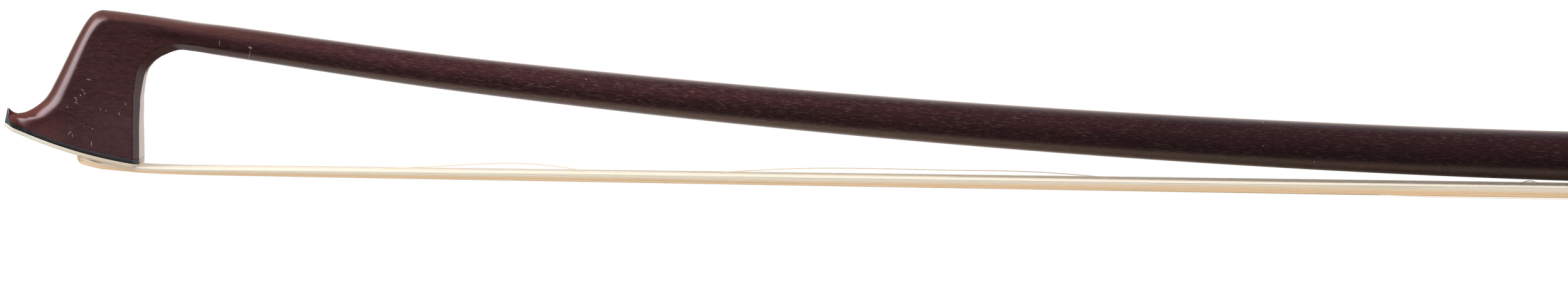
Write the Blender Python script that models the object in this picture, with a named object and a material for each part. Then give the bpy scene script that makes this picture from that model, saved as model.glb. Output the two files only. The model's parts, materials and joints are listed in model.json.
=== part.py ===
"""Viola bow: a cambered stick with a carved head, a ribbon of hair and a frog that a screw draws back.

x runs from the head to the button, y is across, z is up, and the hair hangs below the stick.
While the pieces are made, x = 0 is the rear face of the head and z = 0 is the level of the hair at the head.
The frog and the screw are made along the straight handle: u runs from the stick's end towards the head, and
v runs down from the handle's axis. At the end everything moves so that the origin is under the middle.
"""

import math

import bmesh
import bpy
import numpy as np
from mathutils import Vector

MM = 0.001

# Fits
RUNNING_GAP = 0.3 * MM
GLUE_GAP = 0.1 * MM

# Stick
STICK_LENGTH = 708.5 * MM
HANDLE_LENGTH = 110 * MM
LOW_POINT = 270 * MM
LOW_AXIS_HEIGHT = 4.8 * MM
NECK_HEIGHT_SHARE = 0.8835
CAMBER_CUBIC_SHARE = 0.066
GRADUATIONS = [
    (along * MM, thick * MM)
    for along, thick in (
        (0, 4.8), (30, 5.25), (90, 6.4), (150, 7.3), (210, 8.0), (300, 8.5), (420, 8.8), (600, 8.9)
    )
]
OCTAGON_LENGTH = 76 * MM
OCTAGON_FADE = 4 * MM
NIPPLE_LENGTH = 2 * MM
NIPPLE_RADIUS = 2.7 * MM

# Head
HEAD_HEIGHT = 26.1 * MM
HEAD_LENGTH = 22.9 * MM
HEAD_WIDTH = 10.2 * MM
NECK_START = 14 * MM
PLATE_ARC_RADIUS = 80 * MM
PLATE_REAR_ANGLE = math.radians(6.4)
HEAD_FOOT = 1.25 * MM
LINER_THICKNESS = 0.55 * MM
PLATE_THICKNESS = 0.6 * MM
HEAD_MORTISE_FRONT = 10.4 * MM
HEAD_MORTISE_REAR = 3.2 * MM
HEAD_MORTISE_DEPTH = 6.6 * MM
HEAD_MORTISE_WIDTH = 6.4 * MM
HEAD_KNOT_LENGTH = 2.0 * MM
HEAD_PLUG_INSET = 0.6 * MM
HEAD_PLUG_CHAMFER = 0.4 * MM

# Hair
HAIR_WIDTH_HEAD = 9.0 * MM
HAIR_WIDTH_FERRULE = 11.2 * MM
HAIR_WIDTH_CHANNEL = 7.4 * MM
HAIR_THICKNESS = 1.1 * MM
HAIR_SLACK_THICKNESS = 1.7 * MM
HAIR_HEAD_CLEARANCE = 0.15 * MM
HAIR_BEND_RADIUS = 1.1 * MM
HAIR_DROP_LENGTH = 3 * MM

# Screw
SCREW_RADIUS = 1.35 * MM
SCREW_LENGTH = 50 * MM
SCREW_TRAVEL = 8 * MM

# Frog
FROG_HEEL = 14 * MM
RAIL_LENGTH = 34 * MM
BODY_LENGTH = 32.3 * MM
FERRULE_LENGTH = 13.5 * MM
FROG_DEPTH = 25.4 * MM
FROG_WIDTH = 12.6 * MM
RAIL_TOP = 2.0 * MM
RAIL_WALL = 0.65 * MM
RAIL_CHAMFER = 0.6 * MM
RAIL_FRONT_DEPTH = 5.2 * MM
CHEEK_TOP = 8 * MM
EDGE_CHAMFER = 0.3 * MM
THROAT_RADIUS = 7.6 * MM
THROAT_CENTRE_AHEAD = 4 * MM
HEEL_RADIUS = 4.5 * MM
HEEL_PLATE_THICKNESS = 0.6 * MM
HEEL_PLATE_REACH = 7.2 * MM
HEEL_PLATE_RISE = 12.5 * MM
HEEL_LEAN = 0.8 * MM
HEEL_PIN_RADIUS = 0.5 * MM
HEEL_PIN_LENGTH = 3.7 * MM
HEEL_PIN_SPREAD = 3.4 * MM
UNDERSLIDE_THICKNESS = 0.45 * MM
UNDERSLIDE_INSET = 1 * MM
LINING_SCREW_RADIUS = 0.7 * MM
LINING_SCREW_LENGTH = 2.8 * MM
LINING_SCREW_REAR = 3 * MM
LINING_SCREW_FRONT = 4 * MM
FERRULE_WIDTH = 13.6 * MM
FERRULE_WALL = 0.55 * MM
FERRULE_DOME = 5.6 * MM
FERRULE_SIDE = 3.7 * MM
FERRULE_CORNER = 0.8 * MM
TONGUE_INSET = 1.5 * MM
WEDGE_INSET = 0.6 * MM
CHANNEL_WIDTH = 8.4 * MM
PEARL_THICKNESS = 0.8 * MM
BACKING_THICKNESS = 0.7 * MM
FROG_MORTISE_REAR = 12 * MM
FROG_MORTISE_LENGTH = 10 * MM
FROG_MORTISE_TOP = 15.5 * MM
FROG_KNOT_LENGTH = 2.8 * MM
PLUG_CHAMFER = 0.8 * MM
EYE_ALONG = 19 * MM
EYE_DEPTH = 14.5 * MM
EYE_PEARL_RADIUS = 3.6 * MM
EYE_RING_WIDTH = 0.8 * MM
EYE_THICKNESS = 0.8 * MM
EYELET_ALONG = 17 * MM
EYELET_LENGTH = 4.8 * MM
EYELET_WIDTH = 4.6 * MM
EYELET_SHANK_RADIUS = 1.6 * MM
EYELET_REACH = 10.5 * MM

# Button
BUTTON_LENGTH = 14 * MM
BUTTON_WIDTH = 8.6 * MM
COLLAR_LENGTH = 3.6 * MM
CAP_LENGTH = 3.4 * MM
BUTTON_PEARL_RADIUS = 2.4 * MM
BUTTON_PEARL_THICKNESS = 0.6 * MM
SHAFT_SEAT = 1.6 * MM
BUTTON_CHAMFER = 1 * MM

# Grip and lapping
GRIP_CLEARANCE = 2 * MM
GRIP_LENGTH = 32 * MM
GRIP_THICKNESS = 0.9 * MM
LAPPING_TURNS = 18
LAPPING_PITCH = 4.2 * MM
STRIP_WIDTH = 1.7 * MM
STRIP_THICKNESS = 0.4 * MM

RING_POINTS = 32
HALF_POINTS = RING_POINTS // 2
HAIR_STEPS = 12
LAPPING_STEPS = 12
ARC_STEPS = 12
EIGHTH_TURN = math.pi / 4

# Levels under the head: the plate's lower face, and the middle of the hair that passes under its rear edge
PLATE_LOW_OFFSET = 2 * GLUE_GAP + LINER_THICKNESS + PLATE_THICKNESS
HAIR_HEAD_LEVEL = (
    HEAD_FOOT - PLATE_LOW_OFFSET / math.cos(PLATE_REAR_ANGLE) - HAIR_HEAD_CLEARANCE - HAIR_THICKNESS / 2
)

# Levels in the frog, down from the handle's axis: the middle of the hair in the ferrule and in the channel
HAIR_IN_FERRULE = FROG_DEPTH - FERRULE_WALL - RUNNING_GAP - HAIR_THICKNESS / 2
SLIDE_TOP = FROG_DEPTH - PEARL_THICKNESS - GLUE_GAP - BACKING_THICKNESS
HAIR_IN_CHANNEL = SLIDE_TOP - RUNNING_GAP - HAIR_THICKNESS / 2

# Places along the frog, from the stick's end
BODY_FRONT = FROG_HEEL + BODY_LENGTH
RAIL_END = FROG_HEEL + RAIL_LENGTH
FERRULE_START = BODY_FRONT + RUNNING_GAP
FERRULE_MOUTH = FERRULE_START + FERRULE_LENGTH
CHANNEL_START = FROG_HEEL + HEEL_PLATE_REACH + GLUE_GAP
MORTISE_REAR = FROG_HEEL + FROG_MORTISE_REAR
GRIP_START = RAIL_END + GRIP_CLEARANCE
EYELET_PLACE = FROG_HEEL + EYELET_ALONG
LINING_SCREWS = {"rear": FROG_HEEL + LINING_SCREW_REAR, "front": RAIL_END - LINING_SCREW_FRONT}

# The camber rises from its low point so that the hair runs level from the head into the ferrule
CAMBER_RISE = NECK_HEIGHT_SHARE * HEAD_HEIGHT - LOW_AXIS_HEIGHT
BEND_LENGTH = STICK_LENGTH - HANDLE_LENGTH - LOW_POINT
MOUTH_RISE = HAIR_IN_FERRULE + HAIR_HEAD_LEVEL - LOW_AXIS_HEIGHT
HANDLE_SLOPE = MOUTH_RISE / (BEND_LENGTH / 2 + HANDLE_LENGTH - FERRULE_MOUTH)
HANDLE_TILT = math.atan(HANDLE_SLOPE)
HANDLE_START = STICK_LENGTH - HANDLE_LENGTH * math.cos(HANDLE_TILT)
HANDLE_RADIUS = GRADUATIONS[-1][1] / 2
BORE_RADIUS = SCREW_RADIUS + RUNNING_GAP
TROUGH_OFFSET = RUNNING_GAP + UNDERSLIDE_THICKNESS + GLUE_GAP

# Head sections from below the plate up round the throat: front edge, rear edge (shares of the head's length
# and height), half widths at the front and rear chamfers (shares of the width), chamfers, roundness
HEAD_SECTIONS = [
    ((-1.10, 0.190), (0.000, -0.130), 0.41, 0.505, 6.2 * MM, 1.1 * MM, 0),
    ((-1.00, 0.303), (-0.002, 0.046), 0.405, 0.495, 5.0 * MM, 1.1 * MM, 0),
    ((-0.930, 0.320), (-0.004, 0.153), 0.395, 0.475, 4.6 * MM, 1.1 * MM, 0),
    ((-0.856, 0.333), (-0.007, 0.238), 0.385, 0.455, 4.2 * MM, 1.1 * MM, 0),
    ((-0.780, 0.369), (-0.007, 0.314), 0.375, 0.43, 3.8 * MM, 1.1 * MM, 0),
    ((-0.635, 0.558), (0.000, 0.460), 0.34, 0.375, 3.0 * MM, 1.15 * MM, 0),
    ((-0.491, 0.825), (0.026, 0.598), 0.30, 0.33, 2.4 * MM, 1.2 * MM, 0),
    ((-0.406, 0.948), (0.057, 0.657), 0.29, 0.31, 2.0 * MM, 1.25 * MM, 0),
    ((-0.332, 0.996), (0.096, 0.693), 0.28, 0.295, 1.6 * MM, 1.3 * MM, 0),
    ((-0.240, 0.998), (0.157, 0.722), 0.27, 0.28, 1.2 * MM, 1.2 * MM, 0.1),
    ((-0.011, 0.975), (0.271, 0.750), 0.26, 0.26, 1.0 * MM, 1.0 * MM, 0.35),
    ((0.213, 0.951), (0.376, 0.747), 0.245, 0.245, 0.8 * MM, 0.8 * MM, 0.6),
    ((0.420, 0.927), (0.510, 0.732), 0.236, 0.236, 0.6 * MM, 0.6 * MM, 0.85),
]
RINGS_PER_SECTION = 2
SIDES = ((-1, "right"), (1, "left"))


def clear_scene():
    for item in list(bpy.data.objects):
        bpy.data.objects.remove(item, do_unlink=True)


def finish(name, colour, roughness, metallic=0.0):
    material = bpy.data.materials.new(name)
    material.use_nodes = True
    shader = material.node_tree.nodes["Principled BSDF"]
    shader.inputs["Base Color"].default_value = (*colour, 1)
    shader.inputs["Roughness"].default_value = roughness
    shader.inputs["Metallic"].default_value = metallic
    return material


def empty(name, parent=None, place=(0, 0, 0), tilt=0.0):
    item = bpy.data.objects.new(name, None)
    item.location = place
    item.rotation_euler = (0, tilt, 0)
    item.parent = parent
    bpy.context.collection.objects.link(item)
    return item


def piece(name, mesh_maker, material, parent):
    """One named solid from a bmesh, with its normals outwards and its hard edges kept."""
    mesh = bpy.data.meshes.new(name)
    bmesh.ops.recalc_face_normals(mesh_maker, faces=mesh_maker.faces)
    mesh_maker.to_mesh(mesh)
    mesh_maker.free()
    mesh.materials.append(material)
    mesh.shade_smooth()
    mesh.set_sharp_from_angle(angle=math.radians(30))
    item = bpy.data.objects.new(name, mesh)
    item.parent = parent
    bpy.context.collection.objects.link(item)
    return item


def change(item, operation, tool):
    """Cuts, joins or limits one solid by another, which then isn't part of the model."""
    tool.display_type = "WIRE"
    tool.hide_render = True
    modifier = item.modifiers.new(tool.name, "BOOLEAN")
    modifier.operation = operation
    modifier.solver = "EXACT"
    modifier.object = tool


def spline(rows, at):
    """Smooth values between rows that each start with their knot."""
    knots = [row[0] for row in rows]
    values = [np.array(row[1:], dtype=float) for row in rows]
    at = min(max(at, knots[0]), knots[-1])
    left = min(int(np.searchsorted(knots, at, side="right")) - 1, len(rows) - 2)

    def pull(index):
        before = max(index - 1, 0)
        after = min(index + 1, len(rows) - 1)
        return (values[after] - values[before]) / (knots[after] - knots[before])

    span = knots[left + 1] - knots[left]
    t = (at - knots[left]) / span
    start = values[left] * (2 * t**3 - 3 * t**2 + 1) + pull(left) * span * (t**3 - 2 * t**2 + t)
    end = values[left + 1] * (3 * t**2 - 2 * t**3) + pull(left + 1) * span * (t**3 - t**2)
    return start + end


def arc(centre, radius, start, end, steps):
    """Points of an arc in a plane, with angles in degrees from the first axis to the second."""
    turns = [math.radians(start + (end - start) * step / steps) for step in range(steps + 1)]
    return [(centre[0] + radius * math.cos(turn), centre[1] + radius * math.sin(turn)) for turn in turns]


def loft(rings, capped=True):
    """A skin over rings of the same number of points."""
    shape = bmesh.new()
    rows = [[shape.verts.new(point) for point in ring] for ring in rings]
    count = len(rows[0])
    for row, following in zip(rows, rows[1:]):
        for index in range(count):
            after = (index + 1) % count
            shape.faces.new((row[index], row[after], following[after], following[index]))
    if capped:
        shape.faces.new(rows[0])
        shape.faces.new(rows[-1])
    return shape


def sleeve(outer_rings, inner_rings):
    """A tube with a wall: out along its outer rings and back through its bore."""
    around = outer_rings + inner_rings[::-1]
    return loft(around + [around[0]], capped=False)


def weld(shape):
    bmesh.ops.remove_doubles(shape, verts=shape.verts, dist=0.001 * MM)
    return shape


# Places along the handle
def handle(u, y, v):
    """A point of the handle's frame: u towards the head, v down from the axis."""
    return Vector((-u, y, -v))


def side_prism(outline, half_width, centre=0.0):
    """A (u, v) outline with its width across the bow."""
    return loft([[handle(u, centre + side * half_width, v) for u, v in outline] for side in (-1, 1)])


def length_prism(outline, start, end):
    """A (y, v) outline carried along the handle."""
    return loft([[handle(u, y, v) for y, v in outline] for u in (start, end)])


def box(u_start, u_end, half_width, v_top, v_bottom):
    return side_prism([(u_start, v_top), (u_end, v_top), (u_end, v_bottom), (u_start, v_bottom)], half_width)


def circle(radius, points=24):
    return arc((0, 0), radius, 0, 360 - 360 / points, points - 1)


def octagon(half_width):
    """Corners of an octagon with flats at the top, bottom and sides."""
    corner = half_width / math.cos(EIGHTH_TURN / 2)
    turns = [EIGHTH_TURN * (index + 0.5) for index in range(8)]
    return [(corner * math.cos(turn), corner * math.sin(turn)) for turn in turns]


def rod(start, end, radius, points=24):
    """A round bar on the handle's axis."""
    return length_prism(circle(radius, points), start, end)


def peg(u, y, v_top, v_bottom, radius, points=12):
    """A round bar square to the handle's axis."""
    outline = circle(radius, points)
    return loft([[handle(u + a, y + b, v) for a, b in outline] for v in (v_top, v_bottom)])


def cheek_disc(u, v, y_start, y_end, radius, points=24):
    """A round plate lying in the frog's cheek."""
    outline = circle(radius, points)
    return loft([[handle(u + a, y, v + b) for a, b in outline] for y in (y_start, y_end)])


# Stick
def axis_height(along):
    if along < LOW_POINT:
        t = (LOW_POINT - along) / LOW_POINT
        return LOW_AXIS_HEIGHT + CAMBER_RISE * ((1 - CAMBER_CUBIC_SHARE) * t**2 + CAMBER_CUBIC_SHARE * t**3)
    bend = HANDLE_START - LOW_POINT
    if along < HANDLE_START:
        return LOW_AXIS_HEIGHT + HANDLE_SLOPE * (along - LOW_POINT) ** 2 / (2 * bend)
    return LOW_AXIS_HEIGHT + HANDLE_SLOPE * (bend / 2 + along - HANDLE_START)


def axis_tilt(along):
    step = 0.5 * MM
    return math.atan2(axis_height(along + step) - axis_height(along - step), 2 * step)


def stick_radius(along):
    return spline(GRADUATIONS, along)[0] / 2


def around_axis(along, turn, radius):
    """A point beside the stick's axis, with turn 0 at the top."""
    tilt = axis_tilt(along)
    up = Vector((-math.sin(tilt), 0, math.cos(tilt)))
    centre = Vector((along, 0, axis_height(along)))
    return centre + up * radius * math.cos(turn) + Vector((0, 1, 0)) * radius * math.sin(turn)


def octagon_radius(half_width, turn):
    """The distance from the axis to an octagon with flats at the top, bottom and sides."""
    off_flat = (turn + EIGHTH_TURN / 2) % EIGHTH_TURN - EIGHTH_TURN / 2
    return half_width / math.cos(off_flat)


def octagon_share(along):
    """0 where the stick is round, 1 where it has eight flats."""
    edge = STICK_LENGTH - OCTAGON_LENGTH
    return min(max((along - edge) / OCTAGON_FADE, 0), 1)


def stick_ring(along):
    radius = stick_radius(along)
    flat = octagon_share(along)
    ring = []
    for index in range(RING_POINTS):
        turn = 2 * math.pi * index / RING_POINTS
        ring.append(around_axis(along, turn, radius * (1 - flat) + octagon_radius(radius, turn) * flat))
    return ring


def head_half_outline(depth, front_half, rear_half, front_chamfer, rear_chamfer):
    """(depth, y) points down one side of the head, from its front ridge to the middle of its rear face."""
    points = [(0, 0)]
    for step in range(1, 5):
        share = step / 4
        points.append((front_chamfer * share, front_half * share**0.8))
    for step in range(1, 8):
        share = step / 7
        along = front_chamfer + (depth - front_chamfer - rear_chamfer) * share
        points.append((along, front_half + (rear_half - front_half) * share))
    for step in range(1, 3):
        share = step / 2
        points.append((depth - rear_chamfer * (1 - share), rear_half - rear_chamfer * share))
    rear_face = rear_half - rear_chamfer
    for step in range(1, 4):
        points.append((depth, rear_face * (1 - step / 3)))
    return points


def round_half_outline(depth):
    radius = depth / 2
    turns = [math.pi * index / HALF_POINTS for index in range(HALF_POINTS + 1)]
    return [(radius * (1 - math.cos(turn)), radius * math.sin(turn)) for turn in turns]


def head_ring(at):
    """One ring of the head, at a place in the list of sections."""
    rows = []
    for index, (front, rear, front_half, rear_half, *softness) in enumerate(HEAD_SECTIONS):
        edges = (front[0] * HEAD_LENGTH, front[1] * HEAD_HEIGHT, rear[0] * HEAD_LENGTH, rear[1] * HEAD_HEIGHT)
        rows.append((index, *edges, front_half * HEAD_WIDTH, rear_half * HEAD_WIDTH, *softness))
    front_x, front_z, rear_x, rear_z, *sides, rounded = spline(rows, at)
    front = Vector((front_x, 0, front_z))
    inward = Vector((rear_x, 0, rear_z)) - front
    depth = inward.length
    inward.normalize()
    faceted = head_half_outline(depth, *sides)
    plain = round_half_outline(depth)
    half = [(a[0] + (b[0] - a[0]) * rounded, a[1] + (b[1] - a[1]) * rounded) for a, b in zip(faceted, plain)]
    full = half + [(across, -y) for across, y in half[-2:0:-1]]
    return [front + inward * across + Vector((0, y, 0)) for across, y in full]


def stick_stations():
    """Places of the stick's rings, close together at the neck and at the octagon's ends."""
    handle_rings = [STICK_LENGTH - OCTAGON_LENGTH, STICK_LENGTH - OCTAGON_LENGTH + OCTAGON_FADE]
    neck_rings = [NECK_START + step * MM for step in (0, 5, 12, 22, 35)]
    span_start = neck_rings[-1]
    span = handle_rings[0] - span_start
    count = 24
    middle = [span_start + span * step / count for step in range(1, count)]
    return neck_rings + middle + handle_rings


def plate_arc_point(angle, offset):
    """A point of the head's curved underside, offset downwards; angle 0 is its lowest point."""
    centre = Vector((
        PLATE_ARC_RADIUS * math.sin(PLATE_REAR_ANGLE),
        HEAD_FOOT + PLATE_ARC_RADIUS * math.cos(PLATE_REAR_ANGLE),
    ))
    radius = PLATE_ARC_RADIUS + offset
    return centre.x - radius * math.sin(angle), centre.y - radius * math.cos(angle)


def plate_arc(offset, start_x, end_x, steps=14):
    """The underside's arc between two places along the bow, as (x, z) points."""
    centre_x = PLATE_ARC_RADIUS * math.sin(PLATE_REAR_ANGLE)
    radius = PLATE_ARC_RADIUS + offset
    first = math.asin((centre_x - start_x) / radius)
    last = math.asin((centre_x - end_x) / radius)
    return [plate_arc_point(first + (last - first) * step / steps, offset) for step in range(steps + 1)]


def plate_low(x):
    """The height of the plate's lower face."""
    centre_x = PLATE_ARC_RADIUS * math.sin(PLATE_REAR_ANGLE)
    radius = PLATE_ARC_RADIUS + PLATE_LOW_OFFSET
    return plate_arc_point(math.asin((centre_x - x) / radius), PLATE_LOW_OFFSET)[1]


def flat_slab(outline, half_width):
    """An (x, z) outline with its width across the bow."""
    return loft([[Vector((x, side * half_width, z)) for x, z in outline] for side in (-1, 1)])


def beak_joint(gap):
    """Where the wood meets the liner's turned-up end, from the arc up to the scoop."""
    return [
        (-0.925 * HEAD_LENGTH - gap, 0.262 * HEAD_HEIGHT),
        (-0.950 * HEAD_LENGTH - gap, 0.290 * HEAD_HEIGHT),
        (-0.960 * HEAD_LENGTH - gap, 0.325 * HEAD_HEIGHT),
    ]


def head_mortise(name, parent):
    half = HEAD_MORTISE_WIDTH / 2
    outline = [
        (-HEAD_MORTISE_FRONT, HEAD_MORTISE_DEPTH),
        (-HEAD_MORTISE_REAR, HEAD_MORTISE_DEPTH),
        (-HEAD_MORTISE_REAR, -HEAD_MORTISE_DEPTH),
        (-HEAD_MORTISE_FRONT, -HEAD_MORTISE_DEPTH),
    ]
    return piece(name, flat_slab(outline, half), None, parent)


def plan_tool(name, parent):
    """The outline of the head's underside, as a prism."""
    half = HEAD_WIDTH / 2
    rear_chamfer = HEAD_SECTIONS[0][5]
    side = [
        (0, half - rear_chamfer),
        (-rear_chamfer, half * 0.99),
        (-0.775 * HEAD_LENGTH, half * 0.80),
        (-0.91 * HEAD_LENGTH, half * 0.46),
        (-0.975 * HEAD_LENGTH, half * 0.22),
        (-1.02 * HEAD_LENGTH, half * 0.05),
    ]
    outline = side + [(x, -y) for x, y in side[::-1]]
    top = HEAD_HEIGHT / 2
    return piece(name, loft([[Vector((x, y, z)) for x, y in outline] for z in (-top, top)]), None, parent)


def make_stick(bow, axis, wood):
    steps = RINGS_PER_SECTION * (len(HEAD_SECTIONS) - 1)
    rings = [head_ring(step / RINGS_PER_SECTION) for step in range(steps + 1)]
    rings += [stick_ring(along) for along in stick_stations()]
    rings.append(stick_ring(STICK_LENGTH))
    stick = piece("stick", loft(rings), wood, bow)
    below = -HEAD_HEIGHT
    front = -1.5 * HEAD_LENGTH
    rear = 0.2 * HEAD_LENGTH
    joint = beak_joint(0)
    above = HEAD_HEIGHT / 2
    under = plate_arc(0, rear, joint[0][0]) + joint[1:]
    under += [(joint[-1][0], above), (front, above), (front, below), (rear, below)]
    change(stick, "DIFFERENCE", piece("underside_tool", flat_slab(under, HEAD_WIDTH), None, bow))
    change(stick, "DIFFERENCE", head_mortise("head_mortise_tool", bow))
    nipple = rod(HANDLE_RADIUS, -NIPPLE_LENGTH, NIPPLE_RADIUS)
    change(stick, "UNION", piece("nipple_tool", nipple, wood, axis))
    bore = rod(-2 * NIPPLE_LENGTH, SCREW_LENGTH + RUNNING_GAP, BORE_RADIUS)
    change(stick, "DIFFERENCE", piece("bore_tool", bore, None, axis))
    slot_start = EYELET_PLACE - SCREW_TRAVEL - EYELET_LENGTH / 2 - RUNNING_GAP
    slot_end = EYELET_PLACE + EYELET_LENGTH / 2 + RUNNING_GAP
    slot_half = EYELET_WIDTH / 2 + RUNNING_GAP
    slot = box(slot_start, slot_end, slot_half, -slot_half, 2 * HANDLE_RADIUS)
    change(stick, "DIFFERENCE", piece("slot_tool", slot, None, axis))
    return stick


def make_head_trim(bow, ebony, ivory, plug_wood):
    joint = beak_joint(GLUE_GAP)
    liner_top = plate_arc(GLUE_GAP, 0, joint[0][0])
    tip = [(-0.971 * HEAD_LENGTH, 0.335 * HEAD_HEIGHT), (-0.99 * HEAD_LENGTH, 0.363 * HEAD_HEIGHT)]
    tip.append((-HEAD_LENGTH, 0.376 * HEAD_HEIGHT))
    liner_offset = GLUE_GAP + LINER_THICKNESS
    liner_low = plate_arc(liner_offset, 0, -1.015 * HEAD_LENGTH)[::-1]
    outline = liner_top + joint[1:] + tip + liner_low
    liner = piece("head_liner", flat_slab(outline, HEAD_WIDTH), ebony, bow)
    change(liner, "INTERSECT", plan_tool("liner_plan_tool", bow))
    change(liner, "DIFFERENCE", head_mortise("liner_mortise_tool", bow))
    plate_offset = liner_offset + GLUE_GAP
    plate_front = -1.025 * HEAD_LENGTH
    outline = plate_arc(plate_offset, 0, plate_front)
    outline += plate_arc(plate_offset + PLATE_THICKNESS, 0, plate_front)[::-1]
    plate = piece("head_plate", flat_slab(outline, HEAD_WIDTH), ivory, bow)
    change(plate, "INTERSECT", plan_tool("plate_plan_tool", bow))
    change(plate, "DIFFERENCE", head_mortise("plate_mortise_tool", bow))
    front = -HEAD_MORTISE_FRONT + HAIR_THICKNESS + 2 * RUNNING_GAP
    rear = -HEAD_MORTISE_REAR - RUNNING_GAP
    top = HEAD_MORTISE_DEPTH - RUNNING_GAP
    low = plate_low(front) + HEAD_PLUG_INSET
    outline = [(front, low + HEAD_PLUG_CHAMFER), (front, top), (rear, top), (rear, low)]
    piece("head_plug", flat_slab(outline, HEAD_MORTISE_WIDTH / 2 - RUNNING_GAP), plug_wood, bow)


# Hair
def strap(path):
    """A flat band along (centre, half width, half thickness) stations in the plane of the bow."""
    rings = []
    for index, (centre, half_width, half_thick) in enumerate(path):
        before = path[max(index - 1, 0)][0]
        after = path[min(index + 1, len(path) - 1)][0]
        ahead = (after - before).normalized()
        square = Vector((-ahead.z, 0, ahead.x))
        edge = half_width - half_thick / 2
        section = [(edge, 1), (half_width, 0.4), (half_width, -0.4), (edge, -1)]
        section += [(-across, up) for across, up in section[::-1]]
        rings.append([centre + Vector((0, y, 0)) + square * half_thick * up for y, up in section])
    return loft(rings)


def make_hair(bow, axis, hair, binding):
    half = HAIR_THICKNESS / 2
    turn_in = -HEAD_MORTISE_FRONT + RUNNING_GAP + half
    head_half = HEAD_MORTISE_WIDTH / 2 - RUNNING_GAP
    knot_top = HEAD_MORTISE_DEPTH - RUNNING_GAP
    knot_low = knot_top - HEAD_KNOT_LENGTH
    stations = [(Vector((turn_in, 0, knot_low - RUNNING_GAP)), head_half, half)]
    bend_centre = (turn_in + HAIR_BEND_RADIUS, plate_low(turn_in))
    for x, z in arc(bend_centre, HAIR_BEND_RADIUS, 180, 260, 4):
        stations.append((Vector((x, 0, z)), head_half, half))
    middle = stations[-1][0].x / 2
    level = plate_low(middle) - RUNNING_GAP - half
    stations.append((Vector((middle, 0, level)), (head_half + HAIR_WIDTH_HEAD / 2) / 2, half))
    stations.append((Vector((0, 0, HAIR_HEAD_LEVEL)), HAIR_WIDTH_HEAD / 2, half))
    mouth = axis.matrix_basis @ handle(FERRULE_MOUTH, 0, HAIR_IN_FERRULE)
    start = stations[-1][0]
    for step in range(1, HAIR_STEPS):
        share = step / HAIR_STEPS
        thick = half + (HAIR_SLACK_THICKNESS - HAIR_THICKNESS) / 2 * math.sin(math.pi * share)
        width = HAIR_WIDTH_HEAD + (HAIR_WIDTH_FERRULE - HAIR_WIDTH_HEAD) * share
        stations.append((start.lerp(mouth, share), width / 2, thick))
    turn_up = MORTISE_REAR + RUNNING_GAP + half
    narrow = HAIR_WIDTH_CHANNEL / 2
    bundle = narrow - RUNNING_GAP
    tie_level = FROG_MORTISE_TOP + FROG_KNOT_LENGTH + 2 * RUNNING_GAP
    in_frog = [
        (FERRULE_MOUTH, HAIR_IN_FERRULE, HAIR_WIDTH_FERRULE / 2),
        (BODY_FRONT + HAIR_DROP_LENGTH, HAIR_IN_FERRULE, narrow + RUNNING_GAP),
        (BODY_FRONT, HAIR_IN_CHANNEL, narrow),
    ]
    bend_centre = (turn_up + HAIR_BEND_RADIUS, HAIR_IN_CHANNEL - HAIR_BEND_RADIUS)
    in_frog += [(u, v, bundle) for u, v in arc(bend_centre, HAIR_BEND_RADIUS, 90, 180, 4)]
    in_frog.append((turn_up, tie_level, bundle))
    stations += [(axis.matrix_basis @ handle(u, 0, v), wide, half) for u, v, wide in in_frog]
    piece("hair_ribbon", strap(stations), hair, bow)
    outline = [
        (turn_in - half, knot_low),
        (turn_in + half, knot_low),
        (turn_in + half, knot_top),
        (turn_in - half, knot_top),
    ]
    piece("head_hair_knot", flat_slab(outline, head_half), binding, bow)
    return turn_up, tie_level


# Grip and lapping
def grip_ring(along, thickness, rounding):
    """A ring round the handle that follows its flats, softened by rounding."""
    radius = stick_radius(along) + thickness
    ring = []
    for index in range(RING_POINTS):
        turn = 2 * math.pi * index / RING_POINTS
        flat = octagon_radius(radius, turn)
        soft = radius * 1.04
        ring.append(around_axis(along, turn, flat + (soft - flat) * rounding))
    return ring


def make_grip(bow, leather):
    """A leather sleeve, thinned at both ends."""
    outer = []
    inner = []
    for share, full in ((0, 0.55), (0.06, 1), (0.94, 1), (1, 0.55)):
        along = STICK_LENGTH - (GRIP_START + share * GRIP_LENGTH) * math.cos(HANDLE_TILT)
        outer.append(grip_ring(along, GLUE_GAP + GRIP_THICKNESS * full, 0.5))
        inner.append(grip_ring(along, GLUE_GAP, 0))
    piece("thumb_grip", weld(sleeve(outer, inner)), leather, bow)


def least_gap(points, turn_points, width):
    """The least distance between a strip's edges one turn apart."""
    gaps = [(a - b).length - width for a, b in zip(points, points[turn_points:])]
    return min(gaps)


def make_lapping(bow, name, phase, material):
    """One flat strip wound round the stick as a single band."""
    grip_end = GRIP_START + GRIP_LENGTH
    first = grip_end + RUNNING_GAP + STRIP_WIDTH / 2 + phase * LAPPING_PITCH
    lift = 1 / math.cos(math.pi / LAPPING_STEPS)
    rings = []
    middles = []
    for step in range(LAPPING_TURNS * LAPPING_STEPS + 1):
        share = step / LAPPING_STEPS
        along = STICK_LENGTH - (first + share * LAPPING_PITCH) * math.cos(HANDLE_TILT)
        turn = 2 * math.pi * share
        inner = (stick_radius(along) + GLUE_GAP) * lift
        outer = inner + STRIP_THICKNESS
        half = STRIP_WIDTH / 2
        corners = ((-half, inner), (half, inner), (half, outer), (-half, outer))
        rings.append([around_axis(along + shift, turn, radius) for shift, radius in corners])
        middles.append(around_axis(along, turn, inner))
    piece(name, loft(rings), material, bow)
    print(f"{name}: least gap to itself {least_gap(middles, LAPPING_STEPS, STRIP_WIDTH) / MM:.2f} mm")


# Frog
def heel_path(inset):
    """The heel's outer line, from under the frog round its corner and up its rear face, as (u, v) points."""
    low = FROG_DEPTH - inset
    rear = FROG_HEEL + inset
    corner = (FROG_HEEL + HEEL_RADIUS, FROG_DEPTH - HEEL_RADIUS)
    turn = arc(corner, HEEL_RADIUS - inset, 90, 180, 8)
    return [(FROG_HEEL + HEEL_PLATE_REACH, low)] + turn + [(rear, HEEL_PLATE_RISE)]


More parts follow.
